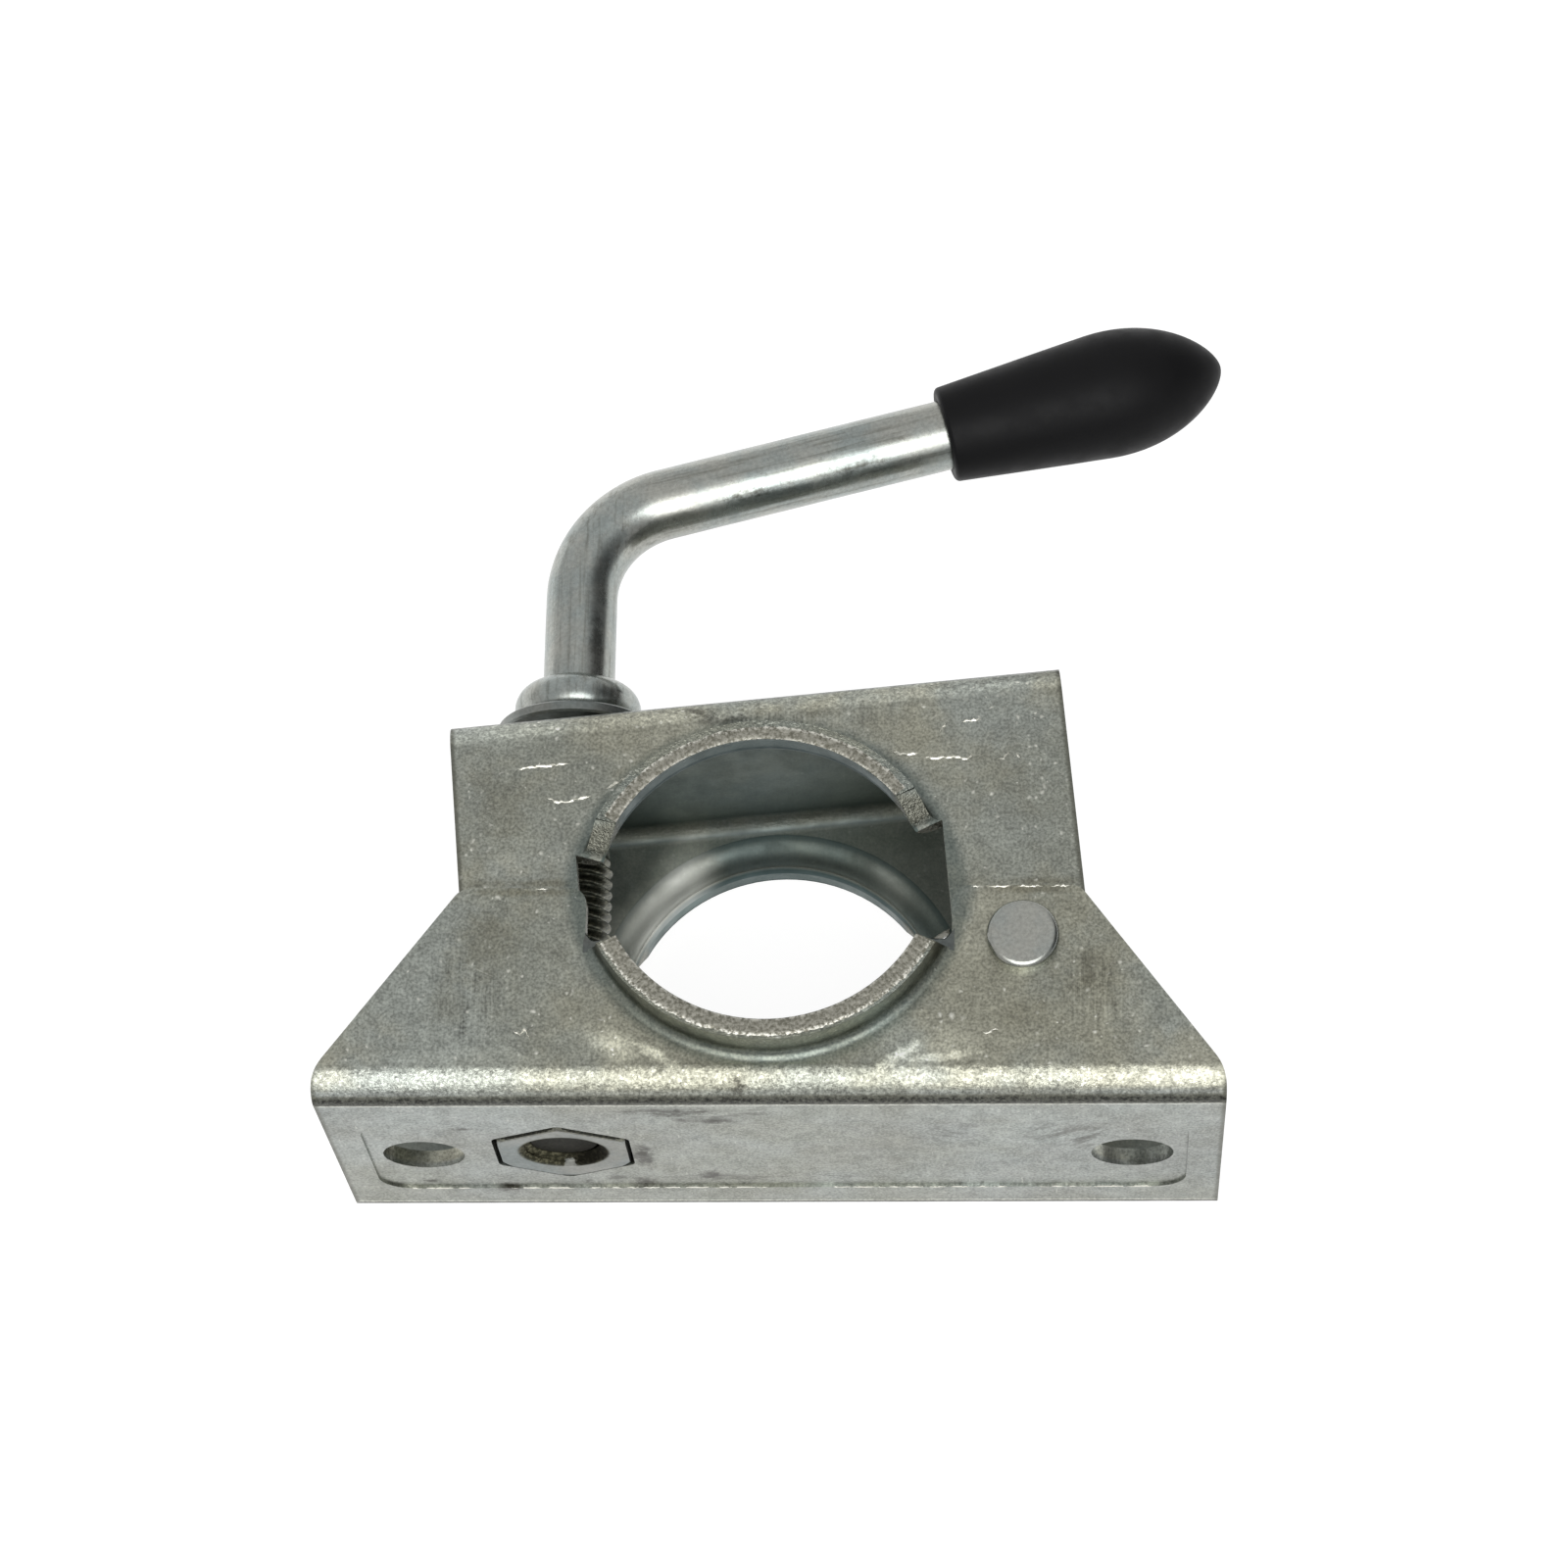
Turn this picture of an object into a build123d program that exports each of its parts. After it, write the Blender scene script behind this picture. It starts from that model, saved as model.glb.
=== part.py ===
"""Clamp that holds the round stem of a jockey wheel on a trailer drawbar.

A pressed bracket is bolted to the drawbar. A smaller pressed jaw is nested between the
bracket's flanges and swings on a rivet at the +X end. A bent handle, whose screw runs
through the jaw's web into a captive nut at the -X end, draws the jaw onto the stem.

Millimetres. The origin is the centre of the bracket's round seat, half way up it.
+Z runs up along the stem, +Y from the drawbar towards the handle.
"""

from build123d import *
from math import asin, atan2, cos, degrees, radians, sin, sqrt, tan
import os

# Stem and its round seats
stem_dia = 48.0
seat_clearance = 0.25

# Pressed sheet, and the plunged collars that line both halves of the seat
sheet = 3.0
collar_root = 1.5
bracket_collar_height = 6.0
jaw_collar_height = 4.3
bracket_collar_ramp = 4.2
jaw_collar_ramp = 11.2
bend_land = 0.15

# Bracket
bracket_height = 54.0
bracket_bend_inside = 1.5
web_past_bolts = 13.0
flange_short_of_centre = 1.9
flange_cut_back = 20.5
flange_shoulder = 3.7
flange_shoulder_radius = 8.0
flange_corner_radius = 3.0
bracket_notch_inset = 2.45
notch_corner_radius = 2.5

# Shallow panel coined into the bracket's outer face, and the holes for the drawbar bolts
panel_side_margin = 5.0
panel_edge_margin = 12.1
panel_depth = 0.4
panel_corner_radius = 5.0
panel_drop = 1.0
bolt_hole_dia = 12.0
bolt_from_screw = 20.7

# Captive nut and the hexagonal cup pressed into the web for it
thread_dia = 12.0
thread_clearance = 0.08
screw_to_seat = 1.05
nut_across_flats = 18.8
nut_height = 10.0
nut_mouth_chamfer = 0.52
nut_chamfer_angle = 30.0
nut_face_share = 0.95
cup_clearance = 0.7
cup_wall = 2.5
cup_corner_radius = 1.5
screw_passage = 0.5

# Jaw
jaw_gap = 0.3
jaw_bend_inside = 2.5
jaw_past_screw = 12.7
jaw_notch_inset = 2.05
jaw_lap = 7.6
jaw_toe_corner_radius = 4.0

# Rivet that the jaw swings on
ear_radius = 9.7
rivet_from_rear = 8.0
rivet_dia = 8.0
rivet_clearance = 0.08
rivet_set_gap = 0.02
rivet_head_overhang = 1.2
rivet_head_height = 2.0
rivet_head_edge = 0.9

# The jaw as it stands, swung in past the stem's own size, and how far it opens
overclosed_angle = 5.54
opened_angle = 3.2

# Handle: a bent rod with a rolled thread and an upset bead, and its washer
rod_dia = 10.9
thread_length = 45.0
thread_tip_chamfer = 1.2
tip_recess = 1.5
handle_run_in = 1.95
washer_dia = 24.0
washer_hole_clearance = 0.5
washer_thickness = 1.8
washer_gap = 0.05
washer_edge = 0.3
bead_foot_overhang = 2.45
bead_crown_overhang = 4.15
bead_height = 7.2
bead_bulge = 0.5
bead_sink = 0.2
leg_length = 36.55
arm_rise = 14.75
arm_bend_radius = 16.7
arm_length = 102.0
slot_clearance = 0.6

# Plastic grip pushed over the end of the arm
grip_length = 46.0
grip_mouth_wall = 2.0
grip_flare = 2.2
grip_nose = 20.0
grip_shoulder = 0.62
grip_bluntness = 0.35
grip_edge = 0.9
grip_fit = 0.05
rod_in_grip = 32.0

# Places worked out from the sizes above
seat_r = stem_dia / 2 + seat_clearance
collar_foot_r = seat_r + sheet + collar_root
thread_r = thread_dia / 2
rod_r = rod_dia / 2
shank_dia = max(rod_dia, thread_dia)
nut_x = -(seat_r + screw_to_seat + thread_r)
bolt_x = bolt_from_screw - nut_x
bracket_width = 2 * (bolt_x + web_past_bolts)
bracket_bend = bracket_bend_inside + sheet
bracket_web_y = -(collar_foot_r + bracket_bend + bend_land)
bracket_rear_y = -flange_short_of_centre
bracket_notch_width = 2 * (collar_foot_r - bracket_notch_inset)
panel_y = bracket_web_y + panel_depth
nut_floor_y = panel_y + nut_height
jaw_bend = jaw_bend_inside + sheet
jaw_web_y = collar_foot_r + jaw_bend + bend_land
jaw_height = bracket_height - 2 * (sheet + jaw_gap)
jaw_left = nut_x - jaw_past_screw
jaw_notch_width = 2 * (collar_foot_r - jaw_notch_inset)
jaw_toe_y = bracket_rear_y - jaw_lap
rivet_x = jaw_notch_width / 2 + ear_radius
rivet_y = bracket_rear_y - rivet_from_rear
rivet_axis = Axis((rivet_x, rivet_y, 0), (0, 0, 1))
screw_tip_y = panel_y + tip_recess
washer_seat_y = jaw_web_y - handle_run_in
bead_y = washer_seat_y + washer_thickness + washer_gap
arm_corner_y = washer_seat_y + leg_length


def channel(width, height, depth, bend):
    """A channel of the sheet, its web's outer face on y = 0 and its flanges along +Y."""
    outer = Pos(depth / 2, 0) * Rectangle(depth, height)
    web_corners = outer.vertices().sort_by(Axis.X)[:2]
    outer = fillet(web_corners, bend)
    hollow = Pos(sheet + depth / 2, 0) * Rectangle(depth, height - 2 * sheet)
    web_corners = hollow.vertices().sort_by(Axis.X)[:2]
    hollow = fillet(web_corners, bend - sheet)
    return extrude(Plane.YZ * (outer - hollow), width / 2, both=True)


def through(plan, height):
    """The plan, drawn on z = 0, as a cutter or former right through a channel."""
    return extrude(plan, height, both=True)


def seat_cut(notch_width, height):
    """What a half seat leaves open in a half that lies on the -Y side of the stem."""
    half = notch_width / 2
    mouth_y = -sqrt(collar_foot_r**2 - half**2)
    reach = 2 * collar_foot_r
    below_mouth = Pos(0, mouth_y - reach / 2) * Rectangle(2 * reach, reach)
    notch = Pos(0, mouth_y + reach / 2) * Rectangle(notch_width, reach)
    return through(Circle(collar_foot_r) & below_mouth, height) + through(notch, height)


def half_collar(notch_width, face_z, collar_height, ramp_angle):
    """One plunged half collar round the -Y side of the stem, above the face at face_z."""
    foot_angle = degrees(asin(notch_width / 2 / collar_foot_r))
    root_z = face_z + collar_root
    rim_z = face_z + collar_height
    outside = seat_r + sheet
    diagonal = sqrt(0.5)
    inner_mid = (collar_foot_r - (collar_root + sheet) * diagonal, root_z - (collar_root + sheet) * diagonal)
    outer_mid = (collar_foot_r - collar_root * diagonal, root_z - collar_root * diagonal)
    section = make_face(
        [
            Line((seat_r, rim_z), (seat_r, root_z)),
            ThreePointArc((seat_r, root_z), inner_mid, (collar_foot_r, face_z - sheet)),
            Line((collar_foot_r, face_z - sheet), (collar_foot_r, face_z)),
            ThreePointArc((collar_foot_r, face_z), outer_mid, (outside, root_z)),
            Line((outside, root_z), (outside, rim_z)),
            Line((outside, rim_z), (seat_r, rim_z)),
        ]
    )
    ring = revolve(Plane.XZ * section, Axis.Z, 2 * foot_angle)
    ring = Rot(0, 0, -90 - foot_angle) * ring
    ramp_run = (outside + seat_r) / 2 * radians(ramp_angle)
    ramp = atan2(ramp_run, collar_height)
    for side in (-1, 1):
        angle = radians(-90 + side * foot_angle)
        radial = Vector(cos(angle), sin(angle), 0)
        outward = Vector(-side * sin(angle), side * cos(angle), 0)
        end = Plane(
            origin=radial * collar_foot_r + Vector(0, 0, face_z),
            x_dir=radial,
            z_dir=outward * cos(ramp) + Vector(0, 0, sin(ramp)),
        )
        reach = 4 * collar_foot_r
        ring -= end * Box(reach, reach, reach, align=(Align.CENTER, Align.CENTER, Align.MIN))
    return ring


def both_faces(piece):
    """The piece above the middle plane with its mirror image below."""
    return piece + mirror(piece, Plane.XY)


def upright_edges(part, x, y):
    """The part's edges along Z that stand at x, y."""
    near = sheet / 10
    edges = part.edges().filter_by(Axis.Z)
    return edges.filter_by(lambda e: abs(e.center().X - x) < near and abs(e.center().Y - y) < near)


def across_web(sketch, y, depth):
    """A sketch drawn in X and Z, made into a solid that runs from y by depth along +Y."""
    wall = Plane(origin=(0, y, 0), x_dir=(1, 0, 0), z_dir=(0, 1, 0))
    return extrude(wall * mirror(sketch, Plane.XZ), depth)


def hexagon(across_flats):
    """A hexagon with two of its corners up and down."""
    return RegularPolygon(across_flats / sqrt(3), 6, rotation=30)


def make_bracket():
    half = bracket_width / 2
    half_rear = half - flange_cut_back
    shoulder_y = bracket_web_y + flange_shoulder
    outline = Polygon(
        (-half, bracket_web_y),
        (half, bracket_web_y),
        (half, shoulder_y),
        (half_rear, bracket_rear_y),
        (-half_rear, bracket_rear_y),
        (-half, shoulder_y),
        align=None,
    )
    corners = outline.vertices().group_by(Axis.Y)
    outline = fillet(corners[1], flange_shoulder_radius)
    outline = fillet(outline.vertices().group_by(Axis.Y)[-1], flange_corner_radius)
    flange_depth = bracket_rear_y - bracket_web_y
    bracket = Pos(0, bracket_web_y, 0) * channel(bracket_width, bracket_height, flange_depth, bracket_bend)
    bracket &= through(outline, bracket_height)
    bracket -= seat_cut(bracket_notch_width, bracket_height)
    for side in (-1, 1):
        notch_corner = upright_edges(bracket, side * bracket_notch_width / 2, bracket_rear_y)
        bracket = fillet(notch_corner, notch_corner_radius)
    collar = half_collar(bracket_notch_width, bracket_height / 2, bracket_collar_height, bracket_collar_ramp)
    bracket += both_faces(collar)

    panel_width = bracket_width - 2 * panel_side_margin
    panel_height = bracket_height - 2 * panel_edge_margin
    panel = Pos(0, -panel_drop) * RectangleRounded(panel_width, panel_height, panel_corner_radius)
    bracket -= across_web(panel, bracket_web_y, panel_depth)
    pocket_flats = nut_across_flats + 2 * cup_clearance
    cup = fillet(hexagon(pocket_flats + 2 * cup_wall).vertices(), cup_corner_radius + cup_wall)
    pocket = fillet(hexagon(pocket_flats).vertices(), cup_corner_radius)
    cup_start = bracket_web_y + sheet / 2
    bracket += across_web(Pos(nut_x, 0) * cup, cup_start, nut_floor_y + cup_wall - cup_start)
    bracket -= across_web(Pos(nut_x, 0) * pocket, bracket_web_y, nut_floor_y - bracket_web_y)
    bracket -= across_web(Pos(nut_x, 0) * Circle(thread_r + screw_passage), nut_floor_y, cup_wall)
    for side in (-1, 1):
        hole = Pos(side * bolt_x, -panel_drop) * Circle(bolt_hole_dia / 2)
        bracket -= across_web(hole, bracket_web_y, sheet)
    rivet_hole = Pos(rivet_x, rivet_y) * Circle(rivet_dia / 2 + rivet_set_gap)
    return bracket - through(rivet_hole, bracket_height)


def screw_in_jaw(angle):
    """Where the screw crosses the jaw's web, along the web, with the jaw turned by angle."""
    web_depth = jaw_web_y - sheet / 2 - rivet_y
    turned = radians(angle)
    return rivet_x + (nut_x - rivet_x + web_depth * sin(turned)) / cos(turned)


def make_jaw():
    """The jaw, first in line with the stem's own seat, then swung in by the closed angle."""
    right = rivet_x + ear_radius
    depth = jaw_web_y - rivet_y + ear_radius
    left_side = Pos(jaw_left / 2, (jaw_web_y + jaw_toe_y) / 2) * Rectangle(-jaw_left, jaw_web_y - jaw_toe_y)
    right_side = Pos(right / 2, (jaw_web_y + rivet_y) / 2) * Rectangle(right, jaw_web_y - rivet_y)
    outline = left_side + right_side + Pos(rivet_x, rivet_y) * Circle(ear_radius)
    middle = (jaw_left + right) / 2
    jaw = Pos(middle, jaw_web_y, 0) * Rot(0, 0, 180) * channel(right - jaw_left, jaw_height, depth, jaw_bend)
    jaw &= through(outline, jaw_height)
    jaw -= Rot(0, 0, 180) * seat_cut(jaw_notch_width, jaw_height)
    for x in (jaw_left, -jaw_notch_width / 2):
        jaw = fillet(upright_edges(jaw, x, jaw_toe_y), jaw_toe_corner_radius)
    collar = half_collar(jaw_notch_width, jaw_height / 2, jaw_collar_height, jaw_collar_ramp)
    jaw += Rot(0, 0, 180) * both_faces(collar)

    ends = [screw_in_jaw(overclosed_angle), screw_in_jaw(-opened_angle)]
    slot_width = shank_dia + 2 * slot_clearance
    slot = SlotOverall(max(ends) - min(ends) + slot_width, slot_width)
    jaw -= across_web(Pos(sum(ends) / 2, 0) * slot, jaw_web_y - sheet, sheet)
    pivot = Pos(rivet_x, rivet_y) * Circle(rivet_dia / 2 + rivet_clearance)
    jaw -= through(pivot, jaw_height)
    return jaw.rotate(rivet_axis, overclosed_angle)


def make_nut():
    corner_r = nut_across_flats / sqrt(3)
    flat_r = nut_across_flats / 2
    drop = (corner_r - flat_r * nut_face_share) * tan(radians(nut_chamfer_angle))
    nut = across_web(hexagon(nut_across_flats), 0, nut_height)
    turned = Cylinder(corner_r, nut_height, rotation=(90, 0, 0))
    turned = chamfer(turned.edges().filter_by(GeomType.CIRCLE), corner_r - flat_r * nut_face_share, drop)
    nut &= Pos(0, nut_height / 2, 0) * turned
    bore_r = thread_r + thread_clearance
    nut -= across_web(Circle(bore_r), 0, nut_height)
    circles = nut.edges().filter_by(GeomType.CIRCLE)
    mouths = circles.filter_by(lambda e: abs(e.radius - bore_r) < thread_clearance)
    nut = chamfer(mouths, nut_mouth_chamfer)
    return Pos(nut_x, panel_y, 0) * nut


def make_rivet():
    half = bracket_height / 2
    head_r = rivet_dia / 2 + rivet_head_overhang
    head = Cylinder(head_r, rivet_head_height, align=(Align.CENTER, Align.CENTER, Align.MIN))
    head = fillet(head.edges().group_by(Axis.Z)[-1], rivet_head_edge)
    rivet = Cylinder(rivet_dia / 2, bracket_height) + both_faces(Pos(0, 0, half) * head)
    return Pos(rivet_x, rivet_y, 0) * rivet


def make_washer():
    hole = Circle(shank_dia / 2 + washer_hole_clearance)
    ring = across_web(Circle(washer_dia / 2) - hole, washer_seat_y, washer_thickness)
    return Pos(nut_x, 0, 0) * chamfer(ring.edges().filter_by(GeomType.CIRCLE), washer_edge)


def arm_frame():
    """A plane at the corner where the screw's and the arm's centre lines meet, along the arm."""
    along = Vector(cos(radians(arm_rise)), sin(radians(arm_rise)), 0)
    return Plane(origin=(nut_x, arm_corner_y, 0), x_dir=(0, 0, 1), z_dir=along)


def make_handle():
    corner = arm_frame().origin
    arm_end = corner + arm_frame().z_dir * (arm_length - grip_length + rod_in_grip)
    tip = Vector(nut_x, screw_tip_y, 0)
    path = FilletPolyline(tip, corner, arm_end, radius=arm_bend_radius)
    rod = sweep(Plane(origin=tip, z_dir=(0, 1, 0)) * Circle(rod_r), path)
    thread = across_web(Circle(thread_r), screw_tip_y, thread_length)
    thread = chamfer(thread.edges().filter_by(GeomType.CIRCLE), thread_tip_chamfer)
    foot_r, crown_r, neck_r = rod_r + bead_foot_overhang, rod_r + bead_crown_overhang, rod_r - bead_sink
    side = ThreePointArc((foot_r, 0), (crown_r, bead_height * bead_bulge), (neck_r, bead_height))
    axis_side = Polyline((neck_r, bead_height), (0, bead_height), (0, 0), (foot_r, 0))
    bead = revolve(Pos(0, bead_y, 0) * make_face([side, *axis_side.edges()]), Axis.Y)
    return rod + Pos(nut_x, 0, 0) * thread + Pos(nut_x, 0, 0) * bead


def make_grip():
    """A hollow grip: a flaring cone that runs on smoothly into a blunt, slightly pointed nose."""
    mouth = arm_length - grip_length
    bore_r = rod_r + grip_fit
    bore_end = mouth + rod_in_grip + grip_fit
    mouth_r = bore_r + grip_mouth_wall
    cone = Line((mouth_r, mouth + grip_edge), (mouth_r + grip_flare, arm_length - grip_nose))
    shoulder = cone @ 1 + cone % 1 * (grip_nose * grip_shoulder)
    brow = ((cone @ 1).X * grip_bluntness, arm_length)
    nose = Bezier(cone @ 1, shoulder, brow, (0, arm_length))
    lip = CenterArc((mouth_r - grip_edge, mouth + grip_edge), grip_edge, -90, 90)
    hollow = Polyline(
        (0, arm_length),
        (0, bore_end),
        (bore_r, bore_end),
        (bore_r, mouth),
        (mouth_r - grip_edge, mouth),
    )
    section = make_face([cone, nose, *hollow.edges(), lip])
    return arm_frame() * revolve(Plane.XZ * section, Axis.Z)


nodes = {
    "bracket": make_bracket(),
    "clamp_jaw": make_jaw(),
    "captive_nut": make_nut(),
    "hinge_rivet": make_rivet(),
    "washer": make_washer(),
    "handle_rod": make_handle(),
    "handle_grip": make_grip(),
}

os.makedirs("parts", exist_ok=True)
for name, node in nodes.items():
    solid = node.solid()
    solid.label = name
    export_step(solid, f"parts/{name}.step")
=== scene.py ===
"""Looks of a jockey wheel clamp: bright zinc plate on pressed sheet, a threaded handle and a black grip.

Metres, in the frame's own axes: +Z up along the stem, +Y from the drawbar towards the handle, and the
origin at the centre of the round seat.
"""

import math
import random
from collections import namedtuple

import bmesh
import bpy
from mathutils import Matrix, Vector, noise


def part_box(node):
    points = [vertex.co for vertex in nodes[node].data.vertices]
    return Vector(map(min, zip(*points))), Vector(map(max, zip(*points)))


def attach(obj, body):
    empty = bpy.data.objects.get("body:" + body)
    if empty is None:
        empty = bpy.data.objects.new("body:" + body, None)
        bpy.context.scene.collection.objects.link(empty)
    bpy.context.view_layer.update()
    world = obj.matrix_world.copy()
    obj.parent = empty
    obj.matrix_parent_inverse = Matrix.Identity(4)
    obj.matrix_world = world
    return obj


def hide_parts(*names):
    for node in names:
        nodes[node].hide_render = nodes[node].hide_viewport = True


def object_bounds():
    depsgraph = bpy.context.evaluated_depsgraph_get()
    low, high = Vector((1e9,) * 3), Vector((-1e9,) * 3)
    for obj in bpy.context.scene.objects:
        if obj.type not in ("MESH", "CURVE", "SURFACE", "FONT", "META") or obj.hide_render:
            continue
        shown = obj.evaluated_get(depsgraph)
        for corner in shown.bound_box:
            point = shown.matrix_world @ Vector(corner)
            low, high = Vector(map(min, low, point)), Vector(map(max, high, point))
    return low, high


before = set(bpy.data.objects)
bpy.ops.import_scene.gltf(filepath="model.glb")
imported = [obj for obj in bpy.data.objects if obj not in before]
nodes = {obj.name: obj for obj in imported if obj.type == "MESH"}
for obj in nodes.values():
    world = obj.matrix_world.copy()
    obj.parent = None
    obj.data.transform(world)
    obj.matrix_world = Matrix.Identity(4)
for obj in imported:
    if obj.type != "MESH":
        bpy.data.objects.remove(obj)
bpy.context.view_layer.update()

MM = 0.001
TURN = 2 * math.pi

# The photograph's camera
IMAGE_PIXELS = 1600
FOCAL_PIXELS = 4924.2
SENSOR_WIDTH = 36
VIEW_ELEVATION = math.radians(67.24)
VIEW_YAW = math.radians(-8.4)
VIEW_ROLL = math.radians(-8.2)
VIEW_DISTANCE = 728.74 * MM
VIEW_TARGET = Vector((0.27, 25.22, 0)) * MM

# Seat with its collars, and the sheet of the two pressings
SEAT_CENTRE = Vector((0, 0, 0))
SEAT_R = 24.25 * MM
SHEET = 3.0 * MM
COLLAR_R = SEAT_R + SHEET
FOOT_R = 28.75 * MM
LIP_RISE = 1.5 * MM
JAW_PIVOT = Vector((36.4, -9.9, 0)) * MM
JAW_CLOSED = math.radians(5.54)
WEB_FACE_Y = -33.4 * MM
BRACKET_NOTCH_X = 26.3 * MM

# Handle, with the thread on its end, in line with the middle of the nut
NUT_LOW, NUT_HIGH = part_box("captive_nut")
SCREW_X = (NUT_LOW[0] + NUT_HIGH[0]) / 2
ROD_R = 5.45 * MM
THREAD_R = 6.0 * MM
THREAD_PITCH = 1.75 * MM
THREAD_LENGTH = 45.0 * MM
THREAD_FADE = 2.5 * MM
RINGS_PER_PITCH = 14
TIP_CHAMFER = 1.2 * MM
WASHER_GAP = 0.05 * MM
BEAD_FOOT_R = 7.9 * MM
BEAD_CROWN_R = 9.6 * MM
BEAD_HEIGHT = 6.6 * MM
BEAD_STEPS = 22
CORNER_Y = 69.0 * MM
ARM_RISE = math.radians(14.75)
ALONG_ARM = Vector((math.cos(ARM_RISE), math.sin(ARM_RISE), 0))
ARM_BEND_R = 16.7 * MM
ARM_BEND_STEPS = 40
ARM_END = 88.0 * MM
GRIP_DRAWN_BACK = 1.6 * MM
GRIP_TAPER = 20.0 * MM

# Captive nut
NUT_FLAT_R = 9.4 * MM
NUT_FACE_SHARE = 1.08
NUT_CHAMFER_ANGLE = math.radians(30)
NUT_CHAMFER_STEPS = 8
NUT_MOUTH_R = 6.6 * MM
NUT_DROP = 0.6 * MM
NUT_THREAD_SHARE = 0.54
THREAD_CLEARANCE = 0.08 * MM

# Raised press marks, in mm
MARK_WIDTH = 0.6
MARK_HEIGHT = 0.17
MARK_STEP = 0.35
MARK_WANDER = 0.12
MARK_SUNK = 0.05

# Floor and key lamp
FLOOR_R = 6.0
FLOOR_SIDES = 64
FLOOR_GAP = 0.1 * MM
FLOOR_GREY = 0.25
FLOOR_GLOW = 0.9
WORLD_LEVEL = 0.5
KEY_PLACE = Vector((0.06, -0.48, 0.84))
KEY_AIM = Vector((0, 0.02, 0))
KEY_SIZE = 0.7
KEY_WATTS = 3.7


def rgba(colour):
    """A written colour as a socket takes it. A colour that comes from a node stays as it is."""
    return (*colour, 1) if isinstance(colour, tuple) else colour


class Tree:
    """The nodes of a material or of the world."""

    def __init__(self, owner):
        owner.use_nodes = True
        self.nodes = owner.node_tree.nodes
        self.links = owner.node_tree.links
        self.nodes.clear()

    def add(self, kind, **settings):
        node = self.nodes.new("ShaderNode" + kind)
        for key, value in settings.items():
            setattr(node, key, value)
        return node

    def link(self, source, target):
        """Feeds a socket from another socket, or sets it to a plain value."""
        if isinstance(source, bpy.types.NodeSocket):
            self.links.new(source, target)
        else:
            target.default_value = source

    def fed(self, kind, inputs, **settings):
        """A new node, with its sockets fed by name."""
        node = self.add(kind, **settings)
        for name, source in inputs.items():
            self.link(source, node.inputs[name])
        return node

    def math(self, operation, *values):
        node = self.add("Math", operation=operation)
        for value, socket in zip(values, node.inputs):
            self.link(value, socket)
        return node.outputs[0]

    def vector(self, operation, *values):
        node = self.add("VectorMath", operation=operation)
        sockets = [node.inputs[0], node.inputs["Scale"]] if operation == "SCALE" else node.inputs
        for value, socket in zip(values, sockets):
            self.link(value, socket)
        return node.outputs["Value" if operation in ("DOT_PRODUCT", "LENGTH") else "Vector"]

    def parts(self, vector):
        """The three parts of a vector."""
        return self.fed("SeparateXYZ", {"Vector": vector}).outputs

    def step(self, value, low, high, at_low=0.0, at_high=1.0):
        """A smooth step from at_low to at_high as the value goes from low to high."""
        given = {"Value": value, "From Min": low, "From Max": high, "To Min": at_low, "To Max": at_high}
        return self.fed("MapRange", given, interpolation_type="SMOOTHSTEP").outputs[0]


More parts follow.
